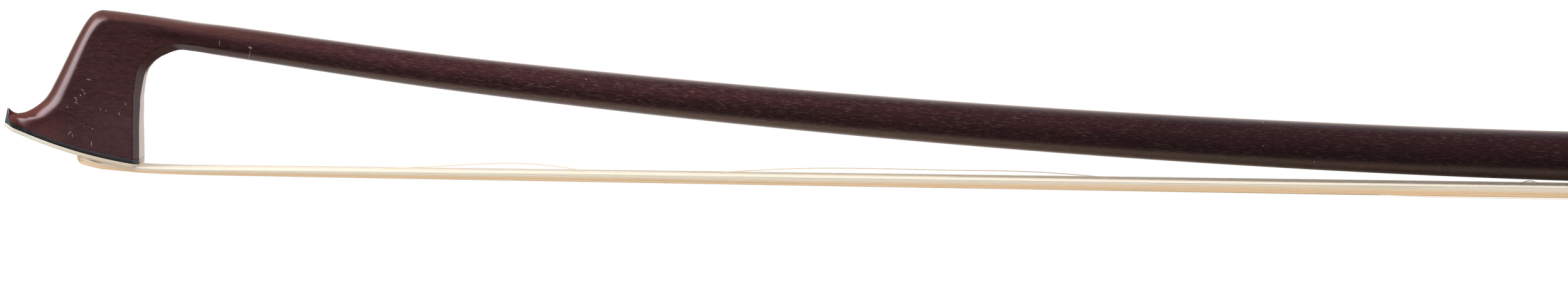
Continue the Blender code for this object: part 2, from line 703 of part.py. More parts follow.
def ferrule_outline(inset):
    """The ferrule's D section as (y, v) points: a flat, two short sides and a dome."""
    half = FERRULE_WIDTH / 2 - inset
    low = FROG_DEPTH - inset
    side_top = FROG_DEPTH - FERRULE_SIDE
    corner = FERRULE_CORNER
    dome = []
    for step in range(ARC_STEPS + 1):
        turn = math.pi * step / ARC_STEPS
        dome.append((half * math.cos(turn), side_top - (FERRULE_DOME - inset) * math.sin(turn)))
    return dome + [(-half, low - corner), (-half + corner, low), (half - corner, low), (half, low - corner)]


def tongue_outline():
    """The frog's tongue fills the ferrule's dome."""
    return ferrule_outline(FERRULE_WALL + GLUE_GAP)[: ARC_STEPS + 1]


def trough_outline(offset):
    """The three lower flats of the handle, moved outwards, as (y, v) points."""
    half = HANDLE_RADIUS + offset
    low = half * math.tan(EIGHTH_TURN / 2)
    return [(-half, low), (-low, half), (low, half), (half, low)]


def make_frog_body(frog, ebony):
    inset = HEEL_PLATE_THICKNESS + GLUE_GAP
    throat_u = RAIL_END + THROAT_CENTRE_AHEAD
    side_top = FROG_DEPTH - FERRULE_SIDE - FERRULE_DOME
    throat_v = (RAIL_FRONT_DEPTH + side_top) / 2
    swing = math.degrees(math.asin((side_top - RAIL_FRONT_DEPTH) / 2 / THROAT_RADIUS))
    throat = arc((throat_u, throat_v), THROAT_RADIUS, 180 + swing, 180 - swing, 10)
    profile = [
        (FROG_HEEL + HEEL_LEAN, RAIL_TOP),
        (RAIL_END - RAIL_CHAMFER, RAIL_TOP),
        (RAIL_END, RAIL_TOP + RAIL_CHAMFER),
        (RAIL_END, RAIL_FRONT_DEPTH),
        *throat,
        (BODY_FRONT, side_top),
        (BODY_FRONT, FROG_DEPTH),
        (CHANNEL_START, FROG_DEPTH),
        (CHANNEL_START, FROG_DEPTH - inset),
        *heel_path(inset)[1:-1],
        (FROG_HEEL + inset, HEEL_PLATE_RISE - GLUE_GAP),
        (FROG_HEEL, HEEL_PLATE_RISE - GLUE_GAP),
        (FROG_HEEL, RAIL_FRONT_DEPTH),
    ]
    body = piece("frog_body", side_prism(profile, FROG_WIDTH), ebony, frog)
    half = FROG_WIDTH / 2
    rail_half = HANDLE_RADIUS + TROUGH_OFFSET + RAIL_WALL
    cheek = [
        (-half, FROG_DEPTH - EDGE_CHAMFER),
        (-half, CHEEK_TOP),
        (-rail_half, RAIL_TOP - RUNNING_GAP),
        (rail_half, RAIL_TOP - RUNNING_GAP),
        (half, CHEEK_TOP),
        (half, FROG_DEPTH - EDGE_CHAMFER),
        (half - EDGE_CHAMFER, FROG_DEPTH + RUNNING_GAP),
        (-half + EDGE_CHAMFER, FROG_DEPTH + RUNNING_GAP),
    ]
    change(body, "INTERSECT", piece("cheek_tool", length_prism(cheek, 0, 2 * FERRULE_MOUTH), None, frog))
    tongue = length_prism(tongue_outline(), BODY_FRONT - TONGUE_INSET, FERRULE_MOUTH - TONGUE_INSET)
    change(body, "UNION", piece("tongue_tool", tongue, ebony, frog))
    trough = trough_outline(TROUGH_OFFSET)
    wide = trough[-1][0]
    trough = [(-wide, -HANDLE_RADIUS)] + trough + [(wide, -HANDLE_RADIUS)]
    change(body, "DIFFERENCE", piece("trough_tool", length_prism(trough, 0, FERRULE_MOUTH), None, frog))
    channel_top = HAIR_IN_CHANNEL - HAIR_THICKNESS / 2 - RUNNING_GAP
    channel = box(CHANNEL_START, FERRULE_MOUTH, CHANNEL_WIDTH / 2, channel_top, FROG_DEPTH + MM)
    change(body, "DIFFERENCE", piece("channel_tool", channel, None, frog))
    mortise_front = MORTISE_REAR + FROG_MORTISE_LENGTH
    mortise = box(MORTISE_REAR, mortise_front, HAIR_WIDTH_CHANNEL / 2, FROG_MORTISE_TOP, channel_top + MM)
    change(body, "DIFFERENCE", piece("mortise_tool", mortise, None, frog))
    hole = peg(EYELET_PLACE, 0, 0, EYELET_REACH + RUNNING_GAP, EYELET_SHANK_RADIUS + RUNNING_GAP)
    change(body, "DIFFERENCE", piece("eyelet_hole_tool", hole, None, frog))
    pocket = EYE_PEARL_RADIUS + EYE_RING_WIDTH + 2 * GLUE_GAP
    floor = half - EYE_THICKNESS - GLUE_GAP
    for side, label in SIDES:
        disc = cheek_disc(FROG_HEEL + EYE_ALONG, EYE_DEPTH, side * floor, side * FROG_WIDTH, pocket)
        change(body, "DIFFERENCE", piece(f"{label}_eye_tool", disc, None, frog))
    for label, u in LINING_SCREWS.items():
        change(body, "DIFFERENCE", piece(f"{label}_screw_hole_tool", lining_screw_hole(u), None, frog))
    for side, label in SIDES:
        change(body, "DIFFERENCE", piece(f"{label}_pin_hole_tool", heel_pin_hole(side), None, frog))
    return body


def lining_screw_hole(u):
    low = HANDLE_RADIUS + LINING_SCREW_LENGTH + 2 * RUNNING_GAP
    return peg(u, 0, 0, low, LINING_SCREW_RADIUS + GLUE_GAP, 10)


def heel_bar(side, start, end, radius):
    """A bar along the bow, beside the middle of the heel plate's upright part."""
    middle = (HEEL_PLATE_RISE + FROG_DEPTH - HEEL_RADIUS) / 2
    outline = [(y + side * HEEL_PIN_SPREAD, v + middle) for y, v in circle(radius, 10)]
    return length_prism(outline, start, end)


def heel_pin_hole(side):
    end = FROG_HEEL + HEEL_PIN_LENGTH + GLUE_GAP
    return heel_bar(side, 0, end, HEEL_PIN_RADIUS + GLUE_GAP)


def make_frog_trim(frog, turn_up, tie_level, silver, brass, pearl, ebony, plug_wood, binding):
    half = FROG_WIDTH / 2
    outer = heel_path(0)
    inner = heel_path(HEEL_PLATE_THICKNESS)
    plate = piece("heel_plate", side_prism(outer + inner[::-1], half - GLUE_GAP), silver, frog)
    for side, label in SIDES:
        change(plate, "DIFFERENCE", piece(f"{label}_plate_hole_tool", heel_pin_hole(side), None, frog))
        pin = heel_bar(side, FROG_HEEL, FROG_HEEL + HEEL_PIN_LENGTH, HEEL_PIN_RADIUS)
        piece(f"heel_pin_{label}", pin, silver, frog)

    walls = []
    for inset in (0, FERRULE_WALL):
        outline = ferrule_outline(inset)
        walls.append([[handle(u, y, v) for y, v in outline] for u in (FERRULE_START, FERRULE_MOUTH)])
    piece("ferrule", weld(sleeve(*walls)), silver, frog)

    wedge_low = HAIR_IN_FERRULE - HAIR_THICKNESS / 2 - GLUE_GAP
    wedge_top = FROG_DEPTH - FERRULE_SIDE + GLUE_GAP
    narrow = HAIR_WIDTH_CHANNEL / 2 + RUNNING_GAP
    wide = HAIR_WIDTH_FERRULE / 2
    rear = BODY_FRONT + HAIR_DROP_LENGTH + RUNNING_GAP
    front = FERRULE_MOUTH - WEDGE_INSET
    corners = ((rear, -narrow), (rear, narrow), (front, wide), (front, -wide))
    wedge = loft([[handle(u, y, v) for u, y in corners] for v in (wedge_top, wedge_low)])
    piece("spreader_wedge", wedge, plug_wood, frog)

    slide_start = CHANNEL_START + GLUE_GAP
    slide_half = CHANNEL_WIDTH / 2 - GLUE_GAP
    pearl_top = FROG_DEPTH - PEARL_THICKNESS
    backing = box(slide_start, BODY_FRONT, slide_half, SLIDE_TOP, pearl_top - GLUE_GAP)
    piece("slide_backing", backing, ebony, frog)
    piece("slide_pearl", box(slide_start, BODY_FRONT, slide_half, pearl_top, FROG_DEPTH), pearl, frog)

    floor = half - EYE_THICKNESS
    for side, label in SIDES:
        u = FROG_HEEL + EYE_ALONG
        faces = (side * floor, side * half)
        eye = cheek_disc(u, EYE_DEPTH, *faces, EYE_PEARL_RADIUS)
        piece(f"pearl_eye_{label}", eye, pearl, frog)
        inner_radius = EYE_PEARL_RADIUS + GLUE_GAP
        walls = []
        for radius in (inner_radius + EYE_RING_WIDTH, inner_radius):
            outline = circle(radius)
            walls.append([[handle(u + a, y, EYE_DEPTH + b) for a, b in outline] for y in faces])
        piece(f"eye_ring_{label}", weld(sleeve(*walls)), silver, frog)

    top = trough_outline(RUNNING_GAP)
    under = trough_outline(RUNNING_GAP + UNDERSLIDE_THICKNESS)
    start = FROG_HEEL + UNDERSLIDE_INSET
    end = RAIL_END - UNDERSLIDE_INSET
    lining = piece("underslide", length_prism(top + under[::-1], start, end), silver, frog)
    hole = peg(EYELET_PLACE, 0, 0, 3 * HANDLE_RADIUS, EYELET_SHANK_RADIUS + RUNNING_GAP)
    change(lining, "DIFFERENCE", piece("lining_hole_tool", hole, None, frog))
    screw_top = HANDLE_RADIUS + RUNNING_GAP
    for label, u in LINING_SCREWS.items():
        change(lining, "DIFFERENCE", piece(f"{label}_lining_hole_tool", lining_screw_hole(u), None, frog))
        lining_screw = peg(u, 0, screw_top, screw_top + LINING_SCREW_LENGTH, LINING_SCREW_RADIUS, 10)
        piece(f"underslide_screw_{label}", lining_screw, brass, frog)

    head = EYELET_WIDTH / 2
    outline = arc((0, 0), head, 180, 360, 8) + [(head, HANDLE_RADIUS), (-head, HANDLE_RADIUS)]
    eyelet = length_prism(outline, EYELET_PLACE - EYELET_LENGTH / 2, EYELET_PLACE + EYELET_LENGTH / 2)
    eyelet = piece("eyelet", eyelet, brass, frog)
    shank = peg(EYELET_PLACE, 0, HANDLE_RADIUS - MM, EYELET_REACH, EYELET_SHANK_RADIUS)
    change(eyelet, "UNION", piece("shank_tool", shank, brass, frog))
    thread = rod(EYELET_PLACE - EYELET_LENGTH, EYELET_PLACE + EYELET_LENGTH, BORE_RADIUS, 20)
    change(eyelet, "DIFFERENCE", piece("thread_tool", thread, None, frog))

    mortise_front = MORTISE_REAR + FROG_MORTISE_LENGTH
    past_hair = turn_up + HAIR_THICKNESS / 2 + RUNNING_GAP
    fit = HAIR_WIDTH_CHANNEL / 2 - RUNNING_GAP
    plug_low = HAIR_IN_CHANNEL - HAIR_THICKNESS / 2 - RUNNING_GAP
    plug = side_prism([
        (past_hair, FROG_MORTISE_TOP + RUNNING_GAP),
        (mortise_front - RUNNING_GAP, FROG_MORTISE_TOP + RUNNING_GAP),
        (mortise_front - RUNNING_GAP, plug_low),
        (past_hair + PLUG_CHAMFER, plug_low),
        (past_hair, plug_low - PLUG_CHAMFER),
    ], fit)
    piece("frog_plug", plug, plug_wood, frog)
    knot = box(
        turn_up - HAIR_THICKNESS / 2,
        turn_up + HAIR_THICKNESS / 2,
        fit,
        FROG_MORTISE_TOP + RUNNING_GAP,
        tie_level - RUNNING_GAP,
    )
    piece("frog_hair_knot", knot, binding, frog)


# Screw and button
def make_screw(screw, steel, silver, ebony, pearl):
    half = BUTTON_WIDTH / 2
    start = -RUNNING_GAP
    collar_end = start - COLLAR_LENGTH
    core_start = collar_end - GLUE_GAP
    cap_end = -BUTTON_LENGTH
    cap_start = cap_end + CAP_LENGTH
    core_end = cap_start + GLUE_GAP
    pearl_start = cap_end + BUTTON_PEARL_THICKNESS
    shaft_end = cap_start - SHAFT_SEAT
    piece("screw_shaft", rod(shaft_end, SCREW_LENGTH, SCREW_RADIUS, 20), steel, screw)

    shaft_hole = rod(MM, -BUTTON_LENGTH, SCREW_RADIUS + GLUE_GAP, 20)
    rings = ((start, 0.96), (start - BUTTON_CHAMFER / 2, 1), (collar_end, 1))
    collar = piece("button_collar", button_section(rings, half), silver, screw)
    recess = rod(MM, -NIPPLE_LENGTH - RUNNING_GAP, NIPPLE_RADIUS + RUNNING_GAP)
    change(collar, "DIFFERENCE", piece("recess_tool", recess, None, screw))
    shaft_tool = piece("shaft_hole_tool", shaft_hole, None, screw)
    change(collar, "DIFFERENCE", shaft_tool)

    middle = (core_start + core_end) / 2
    rings = ((core_start, 0.98), (middle, 0.93), (core_end, 0.98))
    core = piece("button_core", button_section(rings, half), ebony, screw)
    change(core, "DIFFERENCE", shaft_tool)

    rings = ((cap_start, 1), (cap_end + BUTTON_CHAMFER, 1), (cap_end, 0.86))
    cap = piece("button_cap", button_section(rings, half), silver, screw)
    hole = rod(MM, shaft_end - GLUE_GAP, SCREW_RADIUS + GLUE_GAP, 20)
    change(cap, "DIFFERENCE", piece("cap_hole_tool", hole, None, screw))
    pocket = rod(pearl_start + GLUE_GAP, cap_end - MM, BUTTON_PEARL_RADIUS + GLUE_GAP)
    change(cap, "DIFFERENCE", piece("pearl_pocket_tool", pocket, None, screw))
    piece("button_pearl", rod(pearl_start, cap_end, BUTTON_PEARL_RADIUS), pearl, screw)


def button_section(stations, half):
    """An eight-sided bar along the screw, with its width as shares at places along it."""
    return loft([[handle(u, y * share, v * share) for y, v in octagon(half)] for u, share in stations])


def settle(bow):
    """Moves everything so that the origin is under the middle of the whole bow."""
    bpy.context.view_layer.update()
    graph = bpy.context.evaluated_depsgraph_get()
    corners = []
    for item in bpy.data.objects:
        if item.type == "MESH" and not item.hide_render:
            solid = item.evaluated_get(graph)
            corners += [solid.matrix_world @ vertex.co for vertex in solid.data.vertices]
    low = Vector([min(point[axis] for point in corners) for axis in range(3)])
    high = Vector([max(point[axis] for point in corners) for axis in range(3)])
    bow.location = (-(low.x + high.x) / 2, -(low.y + high.y) / 2, -low.z)


def build():
    clear_scene()
    wood = finish("pernambuco", (0.09, 0.022, 0.016), 0.28)
    ebony = finish("ebony", (0.008, 0.007, 0.008), 0.3)
    ivory = finish("ivory_plate", (0.8, 0.75, 0.6), 0.4)
    hair = finish("horsehair", (0.82, 0.74, 0.6), 0.5)
    leather = finish("leather", (0.03, 0.02, 0.016), 0.6)
    silver = finish("silver", (0.8, 0.8, 0.8), 0.25, 1.0)
    brass = finish("brass", (0.7, 0.5, 0.2), 0.35, 1.0)
    steel = finish("steel", (0.5, 0.5, 0.5), 0.3, 1.0)
    pearl = finish("pearl", (0.85, 0.85, 0.82), 0.2)
    plug_wood = finish("plug_wood", (0.6, 0.45, 0.28), 0.7)
    binding = finish("binding", (0.35, 0.25, 0.16), 0.7)
    pale_strip = finish("pale_strip", (0.75, 0.68, 0.5), 0.4)
    dark_strip = finish("dark_strip", (0.03, 0.025, 0.025), 0.4)

    bow = empty("bow")
    end = (STICK_LENGTH, 0, axis_height(STICK_LENGTH))
    axis = empty("handle_axis", bow, end, -HANDLE_TILT)
    frog = empty("frog_slide_axis", bow, end, -HANDLE_TILT)
    screw = empty("screw_axis", bow, end, -HANDLE_TILT)
    bpy.context.view_layer.update()

    make_stick(bow, axis, wood)
    make_head_trim(bow, ebony, ivory, plug_wood)
    turn_up, tie_level = make_hair(bow, axis, hair, binding)
    make_grip(bow, leather)
    make_lapping(bow, "lapping_dark", 0, dark_strip)
    make_lapping(bow, "lapping_pale", 0.5, pale_strip)
    make_frog_body(frog, ebony)
    make_frog_trim(frog, turn_up, tie_level, silver, brass, pearl, ebony, plug_wood, binding)
    make_screw(screw, steel, silver, ebony, pearl)
    settle(bow)


build()
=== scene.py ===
"""A viola bow: carved head and cambered stick, hair, grip and lapping, frog, screw and button."""

import json
import math
import random

import bpy
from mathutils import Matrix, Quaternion, Vector


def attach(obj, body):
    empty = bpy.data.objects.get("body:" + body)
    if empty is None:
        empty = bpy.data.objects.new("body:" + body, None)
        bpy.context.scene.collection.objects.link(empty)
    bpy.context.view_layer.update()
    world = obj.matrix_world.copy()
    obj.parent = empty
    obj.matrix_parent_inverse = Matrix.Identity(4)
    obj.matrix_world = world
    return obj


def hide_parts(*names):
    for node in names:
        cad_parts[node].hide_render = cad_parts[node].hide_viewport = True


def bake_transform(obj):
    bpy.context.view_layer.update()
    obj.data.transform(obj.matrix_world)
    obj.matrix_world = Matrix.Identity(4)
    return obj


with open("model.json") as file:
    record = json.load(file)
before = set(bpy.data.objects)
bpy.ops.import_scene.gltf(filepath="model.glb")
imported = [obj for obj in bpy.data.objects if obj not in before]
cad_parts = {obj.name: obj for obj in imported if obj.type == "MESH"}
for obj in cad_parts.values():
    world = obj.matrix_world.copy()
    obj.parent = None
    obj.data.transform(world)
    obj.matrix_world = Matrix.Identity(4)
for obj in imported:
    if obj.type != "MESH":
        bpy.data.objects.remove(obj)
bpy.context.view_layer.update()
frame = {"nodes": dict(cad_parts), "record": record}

MM = 0.001
ACROSS = Vector((0, 1, 0))


def knots_in_mm(*rows):
    """Rows for a spline, from pairs of a place and a value in millimetres."""
    return [(along * MM, (value * MM,)) for along, value in rows]


# Axes of the handle, from the joint of the screw
SCREW_JOINT = next(joint for joint in frame["record"]["behaviour"]["joints"] if joint["name"] == "screw_turn")
BUTT = Vector(SCREW_JOINT["pos_m"])
TO_BUTTON = Vector(SCREW_JOINT["axis"]).normalized()
HANDLE_UP = Vector((-TO_BUTTON.z, 0, TO_BUTTON.x))
HANDLE_TURN = TO_BUTTON.angle(Vector((1, 0, 0)))

# Stick, with lengths along the bow from the head's rear face
STICK_LENGTH = 708.5 * MM
HANDLE_LENGTH = 110 * MM
HANDLE_SLOPE = TO_BUTTON.z / TO_BUTTON.x
HANDLE_START = STICK_LENGTH - HANDLE_LENGTH * TO_BUTTON.x
LOW_POINT = 270 * MM
LOW_AXIS_HEIGHT = 4.8 * MM
CAMBER_CUBIC_SHARE = 0.066
GRADUATIONS = knots_in_mm(
    (0, 4.9), (30, 5.48), (60, 6.0), (90, 6.58), (150, 7.5), (210, 8.2), (300, 8.65), (420, 8.85), (600, 8.9),
)
AXIS_TRIM = knots_in_mm(
    (0, 0), (20, 0), (35, -0.13), (52, -0.25), (75, -0.2), (110, -0.12), (150, -0.07), (190, -0.07),
    (220, -0.15), (250, -0.22), (300, -0.2), (420, 0),
)
OCTAGON_START = STICK_LENGTH - 76 * MM
OCTAGON_FADE = 4 * MM
EIGHTH_TURN = math.pi / 4

# Rings of the stick: where their points become evenly spread, their gap at the neck, its growth and where that ends
EVEN_START = 60 * MM
RING_GAP = 1.5 * MM
RING_GAP_GROWTH = 2.5 * MM
RING_GAP_END = 80 * MM

# Handle, with lengths from the butt towards the head
HANDLE_RADIUS = 4.45 * MM
NIPPLE_LENGTH = 2 * MM
NIPPLE_RADIUS = 2.7 * MM
BORE_DEPTH = 50.3 * MM
BORE_RADIUS = 1.65 * MM
SLOT_START = 20.3 * MM
SLOT_END = 33.7 * MM
SLOT_HALF = 2.6 * MM
ROD_SIDES = 48

# Head
HEAD_HEIGHT = 26.1 * MM
HEAD_LENGTH = 22.9 * MM
HEAD_WIDTH = 10.2 * MM
CAMBER_RISE = 0.8835 * HEAD_HEIGHT - LOW_AXIS_HEIGHT
NECK_START = 14 * MM
FOOT_RADIUS = 80 * MM
FOOT_REAR_TURN = math.radians(7.18)
FOOT_LEVEL = 1.05 * MM
FOOT_STEPS = 40
GLUE_GAP = 0.1 * MM

# Layers under the head: their offsets below the wood, and their front ends
LINER_THICKNESS = 0.7 * MM
LINER_TOP = 0.02 * MM
LINER_BOTTOM = LINER_THICKNESS + 0.06 * MM
LINER_FRONT = -1.015 * HEAD_LENGTH
PLATE_TOP = LINER_THICKNESS + 0.08 * MM
PLATE_THICKNESS = 0.6 * MM
PLATE_FRONT = -1.03 * HEAD_LENGTH

# Mortise in the head
MORTISE_FRONT = -10.4 * MM
MORTISE_REAR = -3.2 * MM
MORTISE_DEPTH = 6.6 * MM
MORTISE_HALF = 3.2 * MM

# Sections of the head, from under the plate up round the throat: place along and up of the front edge, then of the
# rear edge, half widths at the front and rear, front and rear chamfer, roundness, all in the units below them
HEAD_SECTIONS = (
    (-1.1, 0.19, 0.003, -0.13, 0.245, 0.505, 5.2, 1, 0),
    (-1, 0.303, 0.001, 0.046, 0.27, 0.495, 4.9, 1, 0),
    (-0.93, 0.32, -0.001, 0.153, 0.295, 0.475, 4.8, 1, 0),
    (-0.856, 0.333, -0.003, 0.238, 0.317, 0.455, 4.5, 1, 0),
    (-0.769, 0.3775, -0.003, 0.314, 0.335, 0.42, 3.6, 1, 0),
    (-0.701, 0.4375, 0, 0.387, 0.334, 0.398, 3.1, 1.05, 0),
    (-0.626, 0.56, 0.003, 0.46, 0.33, 0.375, 2.65, 1.1, 0),
    (-0.48, 0.825, 0.031, 0.598, 0.3, 0.33, 2.2, 1.3, 0),
    (-0.394, 0.948, 0.071, 0.655, 0.29, 0.31, 2.2, 1.5, 0),
    (-0.322, 0.996, 0.112, 0.688, 0.28, 0.295, 2.5, 1.6, 0),
    (-0.24, 0.998, 0.166, 0.716, 0.27, 0.28, 2.8, 1.6, 0),
    (-0.011, 0.975, 0.271, 0.75, 0.26, 0.26, 2.4, 1.5, 0.15),
    (0.213, 0.951, 0.376, 0.7445, 0.245, 0.245, 2.2, 1.4, 0.5),
    (0.42, 0.927, 0.51, 0.7255, 0.236, 0.236, 2.1, 1.25, 0.9),
)
SECTION_UNITS = (HEAD_LENGTH, HEAD_HEIGHT, HEAD_LENGTH, HEAD_HEIGHT, HEAD_WIDTH, HEAD_WIDTH, MM, MM, 1)
RINGS_PER_SECTION = 8
FRONT_STEPS = 16
SIDE_STEPS = 10

# The curve from the front ridge to the side: how squarely it leaves the ridge, how far its two handles reach, how
# far they would in a quarter circle, how far the side is softened, and between which sections it becomes round
RIDGE_SHARE = 0.7
RIDGE_HOLD = 0.58
SIDE_HOLD = 0.6
ROUND_HOLD = 0.5523
SOFT_REACH = 1.08
DOME_START = 8.6
DOME_END = 10.2
CRISP_EDGE = 0.08 * MM
EDGE_SUPPORT = 0.3 * MM

# Joint of wood and liner in the beak: place along and up, in millimetres
BEAK_JOINT = [Vector((x, 0, z)) * MM for x, z in (
    (-21.45, 6.75), (-21.9, 6.98), (-22.22, 7.3), (-22.44, 7.75), (-22.56, 8.3), (-22.58, 8.9), (-22.52, 9.6),
)]
LINER_TIP = [Vector((x, 0, z)) * MM for x, z in ((-22.61, 9.2), (-22.73, 9.28))]

# The beak's ridge: place, level and half width where it meets the plate, in millimetres
BEAK_RIDGE = (
    (-19.6, 8.3, 2.2), (-20.4, 8.34, 2.15), (-21, 8.39, 2), (-21.5, 8.49, 1.75), (-21.9, 8.66, 1.5),
    (-22.2, 8.88, 1.25), (-22.45, 9.16, 1), (-22.65, 9.5, 0.75),
)
BEAK_BASE = 6.0
BEAK_STEPS = 12
BEAK_BULGE = 1.25

# Outline of liner and plate at the beak, seen from below, in millimetres
BEAK_PLAN = ((-23.33, 0.2), (-23.0, 0.42), (-22.65, 0.74), (-22.3, 1.35), (-21.95, 2.05), (-21.65, 2.55))

# Camera
AIM = Vector((-0.2408, 0, 0.0076))
CAMERA_LIFT = math.radians(4.2)
CAMERA_ROLL = math.radians(0.8)
CAMERA_DISTANCE = 0.95
CAMERA_LENS = 128.6

# Hair
HAIR_RADIUS = 0.1 * MM
STRAND_SEED = 11
STRAND_SIDES = 5
STRANDS_ACROSS = 46
STRANDS_PER_SIDE = 11

# Stations of the ribbon from the head's mortise: place along and up, half width and half thickness, in millimetres
HAIR_AT_HEAD = (
    (-9.8, 4.0, 2.9, 0.5), (-9.8, 2.6, 2.9, 0.5), (-9.9, 1.75, 3.0, 0.6), (-9.92, 1.25, 3.2, 0.72),
    (-9.5, 0.82, 3.4, 0.74), (-8.7, 0.58, 3.6, 0.7), (-7.4, 0.3, 3.8, 0.7), (-6.0, 0.06, 4.0, 0.69),
    (-3.5, -0.22, 4.25, 0.62), (-1.5, -0.45, 4.4, 0.53), (1.0, -0.66, 4.5, 0.5), (8, -0.8, 4.55, 0.53),
    (18, -0.82, 4.6, 0.57),
)
FREE_HAIR_STEPS = 44

# The same in the frog, with places from the butt and down from the handle's axis; the first is the ferrule's mouth
HAIR_IN_FROG = (
    (60.1, 24, 5.6, 0.55), (55, 24, 5.0, 0.52), (49.3, 24, 4.0, 0.5), (46.3, 22.95, 3.7, 0.5),
    (40, 22.95, 3.7, 0.5), (32, 22.95, 3.5, 0.5), (28.2, 22.95, 3.4, 0.5), (27.2, 22.5, 3.4, 0.5),
    (26.85, 21.6, 3.4, 0.5), (26.85, 18.9, 3.4, 0.5),
)

# Loose hairs beside the ribbon, in millimetres from the head's rear face
STRAY_HAIRS = (
    ((38, 0, -0.37), (42, 0, -0.12), (50.4, 0, 0.39), (62.3, 0, 1.09), (71, 0, 0.57), (76, 0, -0.4)),
    ((97, 0, -0.41), (101.4, 0, 0.25), (115.6, 0, 0.98), (135.5, 0, 0.93), (151, 0, 0.84), (162.8, 0, 0.1),
     (168, 0, -0.72)),
    ((196, -3.5, -1.7), (213.5, -5.2, -1.95), (223, -6, -2), (242, -6.5, -2), (262, -6.5, -2), (290, -5.5, -1.8),
     (310, -3.5, -1.2)),
    ((233.5, 0, -0.41), (234.4, 0, 0.2), (235.3, 0, 0.46), (236.2, 0, 0.37), (237.2, 0, -0.26)),
)

# Grip and lapping, with lengths from the butt towards the head
GRIP_START = 50.2 * MM
GRIP_LENGTH = 31.6 * MM
GRIP_STEPS = 40
GRIP_SIDES = 96
GRIP_ROUNDNESS = 0.62
LAPPING_START = 82.3 * MM
LAPPING_PITCH = 4.2 * MM
LAPPING_WIDTH = 1.72 * MM
LAPPING_TURNS = 18
STEPS_PER_TURN = 40

# Turn, in degrees, from which an edge is rounded off and no longer shaded as smooth
CREASE_ANGLE = 32.0

# Reach of a mark across the bow, longer than any piece is wide
ALL_ACROSS = 1000


# Camera and light
def look(item, toward, roll=0.0):
    """Turns a camera or lamp to face along a direction."""
    turn = toward.to_track_quat("-Z", "Y") @ Quaternion((0, 0, 1), roll)
    item.rotation_euler = turn.to_euler()


def place_camera():
    away = Vector((0, -math.cos(CAMERA_LIFT), math.sin(CAMERA_LIFT)))
    bpy.ops.object.camera_add(location=AIM + away * CAMERA_DISTANCE)
    camera = bpy.context.object
    camera.name = "viewpoint"
    look(camera, -away, CAMERA_ROLL)
    camera.data.lens = CAMERA_LENS
    camera.data.sensor_width = 36
    camera.data.clip_start = 0.01
    camera.data.clip_end = 50
    bpy.context.scene.camera = camera


place_camera()


# Materials
class Value:
    """A socket of a material that takes part in sums."""

    def __init__(self, finish, socket):
        self.finish = finish
        self.socket = socket

    def combine(self, operation, first, second):
        return self.finish.node("ShaderNodeMath", {"operation": operation}, {0: first, 1: second})

    def __add__(self, other):
        return self.combine("ADD", self, other)

    __radd__ = __add__

    def __rsub__(self, other):
        return self.combine("SUBTRACT", other, self)

    def __mul__(self, other):
        return self.combine("MULTIPLY", self, other)

    __rmul__ = __mul__

    def __lt__(self, other):
        return self.combine("LESS_THAN", self, other)


